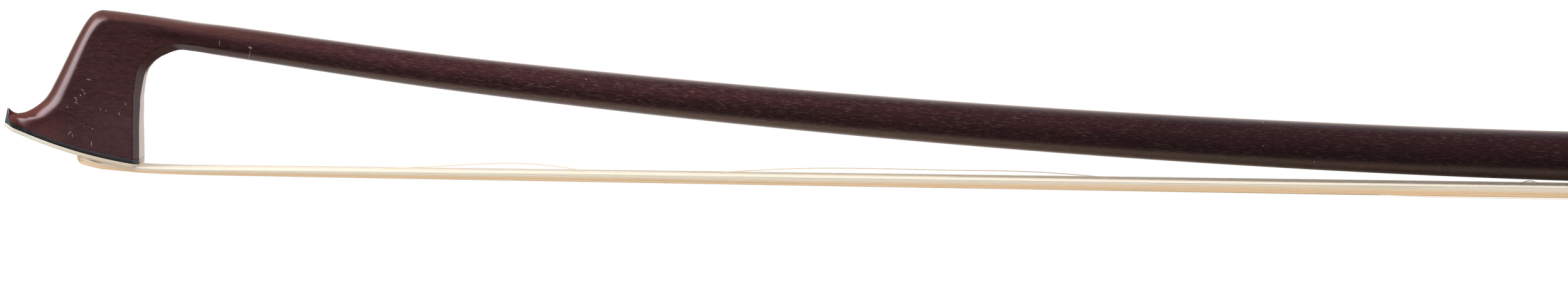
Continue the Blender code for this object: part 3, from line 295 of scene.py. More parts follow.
class Finish:
    """A material, or the world, built from nodes."""

    def __init__(self, name, owner=None, **numbers):
        self.owner = owner or bpy.data.materials.new(name)
        self.owner.use_nodes = True
        self.tree = self.owner.node_tree
        if owner is None:
            self.shader = self.tree.nodes["Principled BSDF"]
            for socket, number in numbers.items():
                self.shader.inputs[socket.replace("_", " ").title().replace("Ior", "IOR")].default_value = number

    def node(self, kind, settings=None, values=None, output=0):
        """Adds one node: its settings first, then the numbers or links of its sockets."""
        item = self.tree.nodes.new(kind)
        for key, setting in (settings or {}).items():
            if key == "stops":
                ramp = item.color_ramp
                while len(ramp.elements) < len(setting):
                    ramp.elements.new(0.5)
                for element, (place, colour) in zip(ramp.elements, setting):
                    element.position = place
                    element.color = (*colour, 1)
            else:
                setattr(item, key, setting)
        for key, value in (values or {}).items():
            if isinstance(value, Value):
                self.tree.links.new(value.socket, item.inputs[key])
            else:
                item.inputs[key].default_value = value
        return Value(self, item.outputs[output]) if item.outputs else None

    def feed(self, **values):
        """Links values to the shader's sockets and gives the finish back."""
        for key, value in values.items():
            self.tree.links.new(value.socket, self.shader.inputs[key.replace("_", " ")])
        return self

    def place(self):
        """The place on the piece, in millimetres."""
        return self.scale(self.node("ShaderNodeTexCoord", output=3), 1 / MM)

    def attribute(self, name):
        return self.node("ShaderNodeAttribute", {"attribute_name": name}, output=1)

    def scale(self, vector, factor):
        factors = (factor,) * 3 if isinstance(factor, (int, float)) else factor
        return self.node("ShaderNodeVectorMath", {"operation": "MULTIPLY"}, {0: vector, 1: factors})

    def axis(self, vector, index):
        return self.node("ShaderNodeSeparateXYZ", values={0: vector}, output=index)

    def noise(self, place, factor, detail, roughness=0.5, distortion=0.0):
        return self.node("ShaderNodeTexNoise", values={
            "Vector": self.scale(place, factor), "Scale": 1.0, "Detail": detail, "Roughness": roughness,
            "Distortion": distortion,
        })

    def cells(self, place, factor, feature="F1"):
        values = {"Vector": self.scale(place, factor), "Scale": 1.0}
        return self.node("ShaderNodeTexVoronoi", {"feature": feature}, values)

    def spot(self, place, mark, outer, inner):
        """1 inside a mark on the near side, fading to 0: its place along and up, half length, half width and turn."""
        x, z, length, width, turn = mark
        inside = self.node("ShaderNodeMapping", {"vector_type": "TEXTURE"}, {
            "Vector": place, "Location": (x, 0, z), "Rotation": (0, math.radians(turn), 0),
            "Scale": (length, ALL_ACROSS, width),
        })
        reach = self.node("ShaderNodeVectorMath", {"operation": "LENGTH"}, {0: inside}, output=1)
        return self.between(reach, outer, inner)

    def between(self, value, low, high, start=0.0, end=1.0):
        """Carries a value smoothly from one span to another."""
        values = {"Value": value, 1: low, 2: high, 3: start, 4: end}
        return self.node("ShaderNodeMapRange", {"interpolation_type": "SMOOTHSTEP"}, values)

    def blend(self, share, first, second):
        """Mixes two colours, given as links or as red, green and blue."""
        colours = [colour if isinstance(colour, Value) else (*colour, 1) for colour in (first, second)]
        return self.node("ShaderNodeMix", {"data_type": "RGBA"}, {0: share, 6: colours[0], 7: colours[1]}, 2)

    def bump(self, height, distance, strength):
        """Raises the surface by a height, over a distance in millimetres."""
        values = {"Strength": strength, "Distance": distance * MM, "Height": height}
        return self.node("ShaderNodeBump", values=values)


def light_world():
    """White for what the camera sees; a room that is dark on the camera's side for what the bow reflects."""
    world = bpy.data.worlds.new("studio")
    bpy.context.scene.world = world
    sky = Finish("studio", world)
    sky.tree.nodes.clear()
    direction = sky.node("ShaderNodeTexCoord")
    away = sky.axis(direction, 1)
    side = sky.axis(direction, 0)
    up = sky.axis(direction, 2)
    above = sky.between(away, -0.3, 1.0, 0.04, 1.1)
    below = sky.between(away, -0.55, 0.1, 0.04, 0.7) * sky.between(side, 0.0, 0.14, 1.0, 0.72)
    upper = sky.between(up, -0.25, 0.1)
    glossy = above * upper + below * (1 - upper)
    right = sky.between(side, 0.5, 0.9)
    left = sky.between(side * -1, 0.3, 0.6)
    glossy = glossy * (1 - right) + right * 1.4
    glossy = glossy * (1 - left) + left * 0.1
    glossy = glossy * (1 - 0.92 * sky.between(side * up * -1, 0.04, 0.3))
    glossy = glossy + sky.between(away, 0.8, 1.0) * 0.4
    diffuse = sky.between(up, -0.6, 1.0, 0.46, 0.68)
    behind = sky.between(away, 0.1, 0.8)
    diffuse = diffuse * (1 - behind) + behind * 1.2
    seen, mirrored, seen_through = (sky.node("ShaderNodeLightPath", output=index) for index in (0, 3, 6))
    plain = sky.between(seen + seen_through, 0.0, 1.0)
    strength = diffuse * (1 - mirrored) + glossy * mirrored
    strength = strength * (1 - plain) + plain
    tint = sky.blend(sky.between(away, 0.3, 0.9), (0.88, 0.96, 1.02), (1.14, 1.0, 0.93))
    tint = sky.blend(plain, tint, (1, 1, 1))
    background = sky.node("ShaderNodeBackground", values={"Color": tint, "Strength": strength})
    sky.node("ShaderNodeOutputWorld", values={"Surface": background})


def soft_lamp(name, turn, lift, distance, width, height, radiance, colour, diffuse=True, glossy=True):
    """A soft box that faces the middle of the view, turned to the left of the camera and lifted by degrees."""
    turn, lift = math.radians(turn), math.radians(lift)
    away = Vector((-math.sin(turn) * math.cos(lift), -math.cos(turn) * math.cos(lift), math.sin(lift)))
    bpy.ops.object.light_add(type="AREA", location=AIM + away * distance)
    lamp = bpy.context.object
    lamp.name = name
    look(lamp, -away)
    lamp.data.shape = "RECTANGLE"
    lamp.data.size = width
    lamp.data.size_y = height
    lamp.data.energy = radiance * math.pi * width * height
    lamp.data.color = colour
    lamp.visible_diffuse = diffuse
    lamp.visible_glossy = glossy


def set_stage():
    bpy.ops.mesh.primitive_plane_add(size=2.2, location=(0, 0.1, -0.16))
    floor = bpy.context.object
    floor.name = "floor"
    floor.visible_glossy = False
    paper = Finish("pale_floor", roughness=0.8)
    grain = paper.noise(paper.place(), 0.4, 4)
    seen = paper.node("ShaderNodeLightPath", output=0)
    pale = paper.blend(grain, (0.82, 0.82, 0.82), (0.88, 0.88, 0.87))
    paper.feed(Base_Color=paper.blend(seen, (0.45, 0.45, 0.45), pale))
    floor.data.materials.append(paper.owner)


light_world()
soft_lamp("left_box", 63, 30, distance=1.3, width=1.2, height=1.15, radiance=7.7, colour=(1, 0.92, 1), diffuse=False)
soft_lamp("left_fill", 78, 35, distance=1.3, width=0.95, height=0.95, radiance=3.6, colour=(1, 0.97, 0.98),
          glossy=False)
soft_lamp("top_box", 10, 72, distance=1.2, width=1.3, height=0.5, radiance=6.8, colour=(1, 0.97, 0.94), glossy=False)
set_stage()
bpy.context.scene.view_settings.view_transform = "Standard"


# Modelling
def select_only(item):
    bpy.ops.object.select_all(action="DESELECT")
    item.select_set(True)
    bpy.context.view_layer.objects.active = item


def opened(name, mesh):
    """A new piece of a mesh, in edit mode with all of it selected."""
    item = bpy.data.objects.new(name, mesh)
    bpy.context.collection.objects.link(item)
    select_only(item)
    bpy.ops.object.mode_set(mode="EDIT")
    bpy.ops.mesh.select_all(action="SELECT")
    return item


def piece(name, points, faces):
    mesh = bpy.data.meshes.new(name)
    mesh.from_pydata(points, [], faces)
    item = opened(name, mesh)
    bpy.ops.mesh.normals_make_consistent(inside=False)
    bpy.ops.object.mode_set(mode="OBJECT")
    return item


def faces_over(rings, base=0, looped=False):
    """Faces over rings of the same number of points, with closed ends or joined into a loop."""
    count = len(rings[0])
    starts = [base + index * count for index in range(len(rings))]
    pairs = list(zip(starts, starts[1:]))
    if looped:
        pairs.append((starts[-1], starts[0]))
    faces = []
    for here, there in pairs:
        for index in range(count):
            after = (index + 1) % count
            faces.append((here + index, here + after, there + after, there + index))
    if not looped:
        first, last = (tuple(range(start, start + count)) for start in (starts[0], starts[-1]))
        faces += [first[::-1], last]
    return faces


def skin(name, rings, looped=False):
    return piece(name, [point for ring in rings for point in ring], faces_over(rings, looped=looped))


def modify(item, kind, **settings):
    """Adds a modifier with its settings and applies it."""
    modifier = item.modifiers.new(kind, kind)
    for key, setting in settings.items():
        setattr(modifier, key, setting)
    select_only(item)
    bpy.ops.object.modifier_apply(modifier=modifier.name)


def shape(item, operation, tool):
    """Cuts, joins or limits a piece by a tool, which is used up."""
    modify(item, "BOOLEAN", operation=operation, solver="EXACT", object=tool)
    bpy.data.objects.remove(tool, do_unlink=True)


def smooth(item, angle=CREASE_ANGLE):
    select_only(item)
    bpy.ops.object.shade_smooth_by_angle(angle=math.radians(angle))
    return item


def round_edges(item, width, steps=2):
    angle = math.radians(CREASE_ANGLE)
    modify(item, "BEVEL", limit_method="ANGLE", angle_limit=angle, width=width * MM, segments=steps)
    return smooth(item)


def coat(item, finish):
    item.data.materials.clear()
    item.data.materials.append(finish.owner)


def dress(item, finish, slot, body, *nodes):
    """Gives a piece its finish and its body, and hides the nodes that it stands for; the slot is not used."""
    coat(item, finish)
    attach(item, body)
    if nodes:
        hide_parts(*nodes)


def softened(node, width):
    """A copy of a CAD solid with its triangles merged into faces and its edges rounded."""
    item = opened(f"{node}_finished", frame["nodes"][node].data.copy())
    bpy.ops.mesh.remove_doubles(threshold=0.002 * MM)
    bpy.ops.mesh.dissolve_limited(angle_limit=math.radians(1))
    bpy.ops.object.mode_set(mode="OBJECT")
    return round_edges(item, width)


# Places
def in_frame(point):
    """From the head's own place, with its rear face at 0 and the hair's level at 0, to the frame."""
    return point + ZERO


def handle(u, y, v):
    """A point beside the handle: u from the butt towards the head, v down from the axis."""
    return BUTT - TO_BUTTON * u + ACROSS * y - HANDLE_UP * v


def spline(rows, at):
    """Smooth values between rows that each start with their knot."""
    at = min(max(at, rows[0][0]), rows[-1][0])
    left = max(index for index in range(len(rows) - 1) if rows[index][0] <= at or index == 0)

    def pull(index, part):
        before, after = rows[max(index - 1, 0)], rows[min(index + 1, len(rows) - 1)]
        return (after[1][part] - before[1][part]) / (after[0] - before[0])

    (start_knot, start), (end_knot, end) = rows[left], rows[left + 1]
    span = end_knot - start_knot
    t = (at - start_knot) / span
    values = []
    for part in range(len(start)):
        value = start[part] * (2 * t**3 - 3 * t**2 + 1) + pull(left, part) * span * (t**3 - 2 * t**2 + t)
        value += end[part] * (3 * t**2 - 2 * t**3) + pull(left + 1, part) * span * (t**3 - t**2)
        values.append(value)
    return values


def smooth_share(value, low, high):
    share = min(max((value - low) / (high - low), 0), 1)
    return share * share * (3 - 2 * share)


# Stick and head
def axis_height(along):
    level = LOW_AXIS_HEIGHT + spline(AXIS_TRIM, along)[0]
    if along < LOW_POINT:
        t = (LOW_POINT - along) / LOW_POINT
        return level + CAMBER_RISE * ((1 - CAMBER_CUBIC_SHARE) * t**2 + CAMBER_CUBIC_SHARE * t**3)
    bend = HANDLE_START - LOW_POINT
    if along < HANDLE_START:
        return level + HANDLE_SLOPE * (along - LOW_POINT) ** 2 / (2 * bend)
    return LOW_AXIS_HEIGHT + HANDLE_SLOPE * (bend / 2 + along - HANDLE_START)


# The head's own place in the frame
ZERO = Vector((BUTT.x - STICK_LENGTH, 0, BUTT.z - axis_height(STICK_LENGTH)))


def stick_radius(along):
    return spline(GRADUATIONS, along)[0] / 2


def around_axis(along, turn, radius):
    """A point beside the stick's axis, with turn 0 at the top."""
    step = 0.5 * MM
    tilt = math.atan2(axis_height(along + step) - axis_height(along - step), 2 * step)
    up = Vector((-math.sin(tilt), 0, math.cos(tilt)))
    return Vector((along, 0, axis_height(along))) + up * radius * math.cos(turn) + ACROSS * radius * math.sin(turn)


def octagon_radius(half_width, turn):
    off_flat = (turn + EIGHTH_TURN / 2) % EIGHTH_TURN - EIGHTH_TURN / 2
    return half_width / math.cos(off_flat)


def corner_points(before, corner, after):
    """Points round a crisp edge, with one on either side to hold the flat faces flat."""
    to_before = (before - corner).normalized()
    to_after = (after - corner).normalized()
    start, end = corner + to_before * CRISP_EDGE, corner + to_after * CRISP_EDGE
    middle = (start + 2 * corner + end) / 4
    return [corner + to_before * EDGE_SUPPORT, start, middle, end, corner + to_after * EDGE_SUPPORT]


def carved_half(depth, domed, front_half, rear_half, front_chamfer, rear_chamfer):
    """(depth, y) points from the front ridge, or its dome, over the flat side and the crisp rear chamfer."""
    slope = math.atan2(front_half, front_chamfer)
    ridge_slope = slope + (math.pi / 2 - slope) * (RIDGE_SHARE + (1 - RIDGE_SHARE) * domed)
    side_start = Vector((front_chamfer * SOFT_REACH, front_half))
    bend = Vector((front_half / math.tan(ridge_slope), front_half))
    first = Vector((0, 0)).lerp(bend, RIDGE_HOLD + (ROUND_HOLD - RIDGE_HOLD) * domed)
    second = side_start.lerp(bend, SIDE_HOLD + (ROUND_HOLD - SIDE_HOLD) * domed)
    points = []
    for step in range(FRONT_STEPS + 1):
        t = step / FRONT_STEPS
        points.append(first * 3 * t * (1 - t) ** 2 + second * 3 * t**2 * (1 - t) + side_start * t**3)
    side_end = Vector((depth - rear_chamfer, rear_half))
    rear_edge = Vector((depth, rear_half - rear_chamfer))
    middle = Vector((depth, 0))
    outer = corner_points(side_start, side_end, rear_edge)
    inner = corner_points(side_end, rear_edge, middle)
    points += [side_start.lerp(outer[0], step / (SIDE_STEPS + 1)) for step in range(1, SIDE_STEPS + 1)]
    points += outer + [(outer[-1] + inner[0]) / 2] + inner
    points += [inner[-1].lerp(middle, step / 3) for step in (1, 2, 3)]
    return points


def spread(points):
    """How far along an outline each point lies, from 0 to 1."""
    steps = [0.0]
    for here, there in zip(points, points[1:]):
        steps.append(steps[-1] + (there - here).length)
    return [step / steps[-1] for step in steps]


def head_ring(at):
    """One ring of the head, and how its points are spread."""
    rows = [
        (index, [number * unit for number, unit in zip(section, SECTION_UNITS)])
        for index, section in enumerate(HEAD_SECTIONS)
    ]
    front_x, front_z, rear_x, rear_z, *sides, rounded = spline(rows, at)
    front = Vector((front_x, 0, front_z))
    inward = Vector((rear_x, 0, rear_z)) - front
    depth = inward.length
    inward.normalize()
    carved = carved_half(depth, smooth_share(at, DOME_START, DOME_END), *sides)
    shares = spread(carved)
    half = []
    for point, share in zip(carved, shares):
        turn = math.pi * share
        plain = Vector((1 - math.cos(turn), math.sin(turn))) * depth / 2
        to_rear = smooth_share(point.x / depth, 0.4, 0.65)
        half.append(point.lerp(plain, rounded * (1 - to_rear) + max(rounded - 0.45, 0) * to_rear))
    full = half + [Vector((point.x, -point.y)) for point in half[-2:0:-1]]
    return [front + inward * point.x + ACROSS * point.y for point in full], shares


def stick_ring(along, shares):
    """A ring of the stick, with its points spread as at the neck, then evenly."""
    radius = stick_radius(along)
    flat = min(max((along - OCTAGON_START) / OCTAGON_FADE, 0), 1)
    even = smooth_share(along, NECK_START, EVEN_START)
    count = len(shares) - 1
    turns = [math.pi * (share * (1 - even) + index / count * even) for index, share in enumerate(shares)]
    turns += [2 * math.pi - turn for turn in turns[-2:0:-1]]
    return [around_axis(along, turn, radius + (octagon_radius(radius, turn) - radius) * flat) for turn in turns]


def foot_point(along, offset):
    """A point of the head's curved underside, at an offset below the wood."""
    x, z = FOOT_RADIUS * math.sin(FOOT_REAR_TURN), FOOT_LEVEL + FOOT_RADIUS * math.cos(FOOT_REAR_TURN)
    centre, radius = Vector((x, 0, z)), FOOT_RADIUS + offset
    turn = math.asin((centre.x - along) / radius)
    return centre + Vector((-radius * math.sin(turn), 0, -radius * math.cos(turn)))


def foot_line(offset, start, end):
    return [foot_point(start + (end - start) * step / FOOT_STEPS, offset) for step in range(FOOT_STEPS + 1)]


def slab(name, outline, half_width):
    """A side outline with its width across the bow."""
    rings = [[in_frame(point + ACROSS * side * half_width) for point in outline] for side in (-1, 1)]
    return skin(name, rings)


def head_mortise():
    front, rear, depth = MORTISE_FRONT, MORTISE_REAR, MORTISE_DEPTH
    corners = ((front, depth), (rear, depth), (rear, -depth), (front, -depth))
    return slab("mortise_tool", [Vector((x, 0, z)) for x, z in corners], MORTISE_HALF)


def rod(start, end, radius):
    """A round tool on the handle's axis."""
    bpy.ops.mesh.primitive_cylinder_add(
        vertices=ROD_SIDES, radius=radius, depth=abs(end - start),
        location=handle((start + end) / 2, 0, 0), rotation=(0, math.pi / 2 - HANDLE_TURN, 0),
    )
    tool = bpy.context.object
    select_only(tool)
    bpy.ops.object.transform_apply(location=True, rotation=True, scale=True)
    return tool


def build_beak():
    """The wood that rises to the tip of the head."""
    rings = []
    for along, level, wide in BEAK_RIDGE:
        shares = [step / BEAK_STEPS for step in range(BEAK_STEPS + 1)]
        side = [(wide * share, BEAK_BASE + (level - BEAK_BASE) * (1 - share**BEAK_BULGE)) for share in shares]
        outline = side + [(-y, z) for y, z in side[:0:-1]]
        rings.append([in_frame(Vector((along, y, z)) * MM) for y, z in outline])
    return skin("beak", rings)


def build_stick():
    """The stick with its head, and the outline of the head's foot as seen from below."""
    rings = []
    for step in range(RINGS_PER_SECTION * (len(HEAD_SECTIONS) - 1) + 1):
        ring, shares = head_ring(step / RINGS_PER_SECTION)
        rings.append(ring)
    along = NECK_START
    while along < OCTAGON_START:
        rings.append(stick_ring(along, shares))
        along += RING_GAP + RING_GAP_GROWTH * smooth_share(along, NECK_START, RING_GAP_END)
    rings += [stick_ring(along, shares) for along in (OCTAGON_START, OCTAGON_START + OCTAGON_FADE, STICK_LENGTH)]
    stick = skin("stick_carved", [[in_frame(point) for point in ring] for ring in rings])
    shape(stick, "UNION", build_beak())
    above, below, front, rear = HEAD_HEIGHT / 2, -HEAD_HEIGHT, -1.5 * HEAD_LENGTH, 0.2 * HEAD_LENGTH
    outline = foot_line(0, rear, BEAK_JOINT[0].x) + BEAK_JOINT[1:]
    corners = ((BEAK_JOINT[-1].x, above), (front, above), (front, below), (rear, below))
    outline += [Vector((x, 0, z)) for x, z in corners]
    shape(stick, "DIFFERENCE", slab("foot_tool", outline, HEAD_WIDTH))
    # The foot's edge on one side, ahead of the rear chamfer
    foot = []
    for vertex in stick.data.vertices:
        place = vertex.co - ZERO
        if place.y > 2 * MM and place.x < -1.3 * MM and abs(place.z - foot_point(place.x, 0).z) < 0.02 * MM:
            foot.append((place.x, place.y))
    shape(stick, "DIFFERENCE", head_mortise())
    shape(stick, "UNION", rod(HANDLE_RADIUS, -NIPPLE_LENGTH, NIPPLE_RADIUS))
    shape(stick, "DIFFERENCE", rod(-2 * NIPPLE_LENGTH, BORE_DEPTH, BORE_RADIUS))
    corners = ((SLOT_START, -1), (SLOT_START, 1), (SLOT_END, 1), (SLOT_END, -1))
    rings = [[handle(u, SLOT_HALF * side, v) for u, side in corners] for v in (-SLOT_HALF, 2 * HANDLE_RADIUS)]
    shape(stick, "DIFFERENCE", skin("slot_tool", rings))
    return smooth(stick), sorted(foot)


def mark_grain(stick):
    """Writes each point's place along the stick, across it and above its axis, how much painted light and wear it
    gets, and how dull it is.
    """
    grain = stick.data.attributes.new("grain", "FLOAT_VECTOR", "POINT")
    worn = stick.data.attributes.new("worn", "FLOAT_VECTOR", "POINT")
    neck_slope = (axis_height(0) - axis_height(-0.1 * MM)) / (0.1 * MM)
    fade = 6 * MM
    for vertex in stick.data.vertices:
        place = vertex.co - ZERO
        if place.x < 0:
            level = axis_height(0) - neck_slope * fade * (1 - math.exp(place.x / fade))
        else:
            level = axis_height(place.x)
        grain.data[vertex.index].vector = (place.x, place.y, place.z - level)
        ahead, normal = -place.x, vertex.normal
        # Faces turned to the front and up, towards the lamps, get a lighter colour: painted light, with some wear
        front = smooth_share(-normal.x, 0.3, 0.75) + 0.6 * smooth_share(normal.z, 0.2, 0.7)
        front *= 1 - smooth_share(place.x, 6 * MM, 40 * MM)
        beak_top = smooth_share(ahead, 15.5 * MM, 18 * MM) * smooth_share(normal.z, 0.35, 0.7)
        beak_tip = smooth_share(ahead - place.z, 12.7 * MM, 13.6 * MM) * smooth_share(ahead, 17.8 * MM, 19.2 * MM)
        throat = smooth_share(normal.x, 0.05, 0.18) * smooth_share(-normal.z, 0.2, 0.4)
        head_top = smooth_share(normal.z, 0.4, 0.8) * (1 - smooth_share(place.x, 0, 9 * MM))
        dull = beak_top + beak_tip + throat * 0.62 + head_top * 0.6
        worn.data[vertex.index].vector = (min(front, 1), min(dull, 1), 0)


# Pale marks on the near side of the head and stick: place along and up, half length, half width and turn downwards
MARKS = (
    (-358.39, 16.62, 0.38, 0.08, 17), (-360.57, 13.47, 0.28, 0.07, 36), (-360.4, 13.1, 0.24, 0.06, 102),
    (-359.35, 14.8, 0.3, 0.06, 48), (-359.0, 14.25, 0.2, 0.07, 90), (-360.45, 12.68, 0.33, 0.06, 17),
    (-361.62, 7.45, 0.07, 0.25, 20), (-361.05, 7.1, 0.06, 0.25, -10), (-361.3, 7.68, 0.22, 0.05, 0),
    (-357.77, 5.78, 0.42, 0.08, 90), (-353.09, 10.96, 0.27, 0.06, 90), (-352.06, 12.6, 0.2, 0.06, 80),
    (-361.93, 11.92, 0.1, 0.1, 0), (-356.28, 11.59, 0.09, 0.09, 0), (-355.32, 11.4, 0.09, 0.09, 0),
    (-358.99, 8.71, 0.08, 0.08, 0), (-357.6, 8.31, 0.1, 0.1, 0), (-360.44, 18.59, 0.07, 0.07, 0),
    (-347.79, 23.21, 0.07, 0.07, 0), (-356.36, 22.67, 0.06, 0.06, 0), (-336.39, 23.08, 0.48, 0.06, 90),
    (-331.19, 22.36, 0.34, 0.16, 20), (-331.38, 21.1, 0.85, 0.05, 108), (-151.1, 5.6, 0.1, 0.1, 0),
)


def pernambuco():
    wood = Finish("pernambuco", coat_roughness=0.31, ior=1.3, specular_tint=(1, 0.74, 0.62, 1))
    grain = wood.scale(wood.attribute("grain"), 1 / MM)
    along = wood.axis(grain, 0)
    broad = wood.noise(grain, (0.03, 0.4, 0.4), 3)
    streaks = wood.noise(grain, (0.1, 2.4, 2.4), 4, 0.65)
    fleck = wood.noise(grain, (0.75, 5.5, 5.5), 3, 0.6)
    ripple = wood.noise(grain, (2.2, 0.9, 0.9), 3, 0.6)
    short = wood.noise(grain, (0.8, 8, 8), 1, 0.5)
    colour = wood.blend(wood.between(broad, 0.3, 0.7), (0.0285, 0.0046, 0.0076), (0.041, 0.0060, 0.0092))
    colour = wood.blend(wood.between(streaks, 0.35, 0.75) * 0.5, colour, (0.058, 0.0102, 0.0108))
    colour = wood.blend(wood.between(ripple, 0.5, 0.8) * 0.3, colour, (0.055, 0.0128, 0.0085))
    dash = wood.between(fleck, 0.53, 0.68)
    colour = wood.blend(dash * 0.55, colour, (0.070, 0.0205, 0.0140))
    colour = wood.blend(wood.between(fleck, 0.47, 0.36) * 0.7, colour, (0.0112, 0.0038, 0.0055))
    lines = wood.between(short, 0.58, 0.68) * wood.between(along, 0, 80, 0.2, 0.75)
    colour = wood.blend(lines, colour, (0.12, 0.062, 0.052))
    colour = wood.blend(wood.between(along, 20, 220, 0.0, 0.62), colour, (0.0088, 0.0034, 0.0050))
    # Painted light on the head's faces turned to the front and up, broken by the streaks as wear
    worn = wood.axis(wood.attribute("worn"), 0) * (0.55 + 0.9 * streaks)
    dull = wood.axis(wood.attribute("worn"), 1)
    colour = wood.blend(worn * 0.7, colour, (0.108, 0.036, 0.025))
    place = wood.place()
    # A painted pool of reddish light on the near side of the beak
    beak_glow_distance = wood.node("ShaderNodeVectorMath", {"operation": "DISTANCE"}, {0: place, 1: (-367.5, -4, 7.5)}, output=1)
    colour = wood.blend(wood.between(beak_glow_distance, 7.5, 1.5) * 0.55, colour, (0.085, 0.014, 0.015))
    pale = wood.between(wood.cells(grain, (0.22, 0.3, 0.3)), 0.032, 0.018)
    for mark in MARKS:
        pale = pale + wood.spot(place, mark, 1.2, 0.7) * 0.75
    pale = pale * (wood.axis(place, 1) < 0)
    return wood.feed(
        Base_Color=wood.blend(pale, colour, (0.36, 0.25, 0.22)),
        Roughness=0.3 + streaks * 0.16 + dull * 0.5,
        Coat_Weight=wood.between(along, 60, 240, 0.9, 0.5) * (1 - dull),
        Normal=wood.bump(streaks * 0.4 + dash * 0.3 + ripple * 0.3, 0.02, 0.4),
    )


# Head plate, liner and plug
def plan_tool(foot):
    """The outline of the head's foot and beak, seen from below, as a prism."""
    outline = [(x * MM, y * MM) for x, y in BEAK_PLAN]
    for x, y in foot:
        if x - outline[-1][0] > 0.05 * MM and y > outline[-1][1]:
            outline.append((x, y))
    rear_half = HEAD_SECTIONS[1][5] * HEAD_WIDTH
    outline += [(-1.08 * MM, rear_half), (0, rear_half - 1.1 * MM)]
    around = outline + [(x, -y) for x, y in outline[::-1]]
    half = HEAD_HEIGHT / 2
    return skin("plan_tool", [[in_frame(Vector((x, y, z))) for x, y in around] for z in (-half, half)])


def under_head(name, outline, foot, width, steps=2):
    """A layer under the head, within its plan, with the mortise and rounded edges."""
    layer = slab(name, outline, HEAD_WIDTH)
    shape(layer, "INTERSECT", plan_tool(foot))
    shape(layer, "DIFFERENCE", head_mortise())
    return round_edges(layer, width, steps)


def build_liner(foot):
    joint = [point - Vector((GLUE_GAP, 0, 0)) for point in BEAK_JOINT]
    outline = foot_line(LINER_TOP, 0, joint[0].x) + joint[1:-1] + LINER_TIP
    outline += foot_line(LINER_BOTTOM, 0, LINER_FRONT)[::-1]
    return under_head("liner", outline, foot, 0.05)


def build_plate(foot):
    outline = foot_line(PLATE_TOP, 0, PLATE_FRONT) + foot_line(PLATE_TOP + PLATE_THICKNESS, 0, PLATE_FRONT)[::-1]
    return under_head("plate", outline, foot, 0.12, 3)


# Hair
def frog_point(u, v):
    return handle(u * MM, 0, v * MM)


def through_knots(rows, steps):
    """The rows with smooth steps between them."""
    knots = list(enumerate(rows))
    return [spline(knots, index / steps) for index in range(steps * (len(rows) - 1) + 1)]


def hair_route():
    """Stations of the ribbon: place, half width and half thickness, from the head's mortise to the frog's."""
    fine = through_knots(HAIR_AT_HEAD, 3)
    stations = [(in_frame(Vector((x, 0, z)) * MM), wide * MM, thick * MM) for x, z, wide, thick in fine]
    start, mouth = stations[-1][0], frog_point(*HAIR_IN_FROG[0][:2])
    for step in range(1, FREE_HAIR_STEPS):
        share = step / FREE_HAIR_STEPS
        hang = math.sin(math.pi * share)
        centre = start.lerp(mouth, share) - HANDLE_UP * 0.3 * hang * MM
        stations.append((centre, (4.6 + 1.0 * share) * MM, (0.6 + 0.42 * hang) * MM))
    return stations + [(frog_point(u, v), wide * MM, thick * MM) for u, v, wide, thick in HAIR_IN_FROG]


def square_to(route, index):
    """The direction square to the ribbon at a station, in the plane of the bow."""
    before, after = route[max(index - 1, 0)][0], route[min(index + 1, len(route) - 1)][0]
    ahead = (after - before).normalized()
    return Vector((-ahead.z, 0, ahead.x))


def strand_rings(route, radius, across=0, level=0, wander=None):
    """Rings of one hair at its place in the ribbon's section, which may wander a little along the way."""
    rings = []
    for index, (centre, wide, thick) in enumerate(route):
        square = square_to(route, index)
        shift_y, shift_z = wander(index) if wander else (0.0, 0.0)
        reach_y, reach_z = wide - radius, thick - radius
        middle = centre + ACROSS * (across * reach_y + shift_y) + square * (level * reach_z + shift_z)
        ring = []
        for side in range(STRAND_SIDES):
            turn = 2 * math.pi * (side + 0.5) / STRAND_SIDES
            ring.append(middle + ACROSS * radius * math.sin(turn) + square * radius * math.cos(turn))
        rings.append(ring)
    return rings


def gather(name, tubes):
    """One mesh from many closed tubes, each with its tone and its level in the ribbon."""
    points, faces, tones = [], [], []
    for rings, tone, level in tubes:
        faces += faces_over(rings, len(points))
        points += [point for ring in rings for point in ring]
        tones += [(tone, level, 0)] * (len(points) - len(tones))
    item = piece(name, points, faces)
    tint = item.data.attributes.new("strand", "FLOAT_VECTOR", "POINT")
    for index, value in enumerate(tones):
        tint.data[index].vector = value
    item.data.shade_smooth()
    return item


def ribbon_core(route):
    """The filled middle of the ribbon, on which the single hairs lie."""
    section = [(-1, 0.3), (-0.95, 0.8), (-0.8, 1), (0.8, 1), (0.95, 0.8), (1, 0.3)]
    section += [(across, -level) for across, level in section[::-1]]
    rings = []
    for index, (centre, wide, thick) in enumerate(route):
        square = square_to(route, index)
        rings.append([centre + ACROSS * across * (wide - 0.11 * MM) + square * level * (thick - 0.1 * MM)
                      for across, level in section])
    return rings


def build_hair():
    draw = random.Random(STRAND_SEED)
    route = hair_route()
    tubes = [(ribbon_core(route), 0.5, 0.0)]
    places = []
    for index in range(STRANDS_ACROSS):
        across = -1 + 2 * (index + 0.5) / STRANDS_ACROSS
        places += [(across, 1.0), (across, -1.0)]
    for side in (-1, 1):
        places += [(side, -0.85 + 1.7 * step / (STRANDS_PER_SIDE - 1)) for step in range(STRANDS_PER_SIDE)]
    for across, level in places:
        phase, pace, sway = draw.uniform(0, 6.28), draw.uniform(0.1, 0.4), draw.uniform(0.04, 0.18) * MM
        lift = draw.uniform(0.0, 0.12) * MM

        def wander(index):
            out = -lift * (0.5 + 0.5 * math.sin(phase * 2 + index * pace * 1.7))
            return (sway * math.sin(phase + index * pace) - across * sway) * (1 - across**8), out * level

        radius = HAIR_RADIUS * draw.uniform(0.8, 1.15)
        tubes.append((strand_rings(route, radius, across, level, wander), draw.random(), level))
    for points in STRAY_HAIRS:
        centres = through_knots(points, 4)
        strand = [(in_frame(Vector(centre) * MM), HAIR_RADIUS, HAIR_RADIUS) for centre in centres]
        tubes.append((strand_rings(strand, HAIR_RADIUS * 0.75), 0.6, 0.3))
    return gather("hair", tubes)
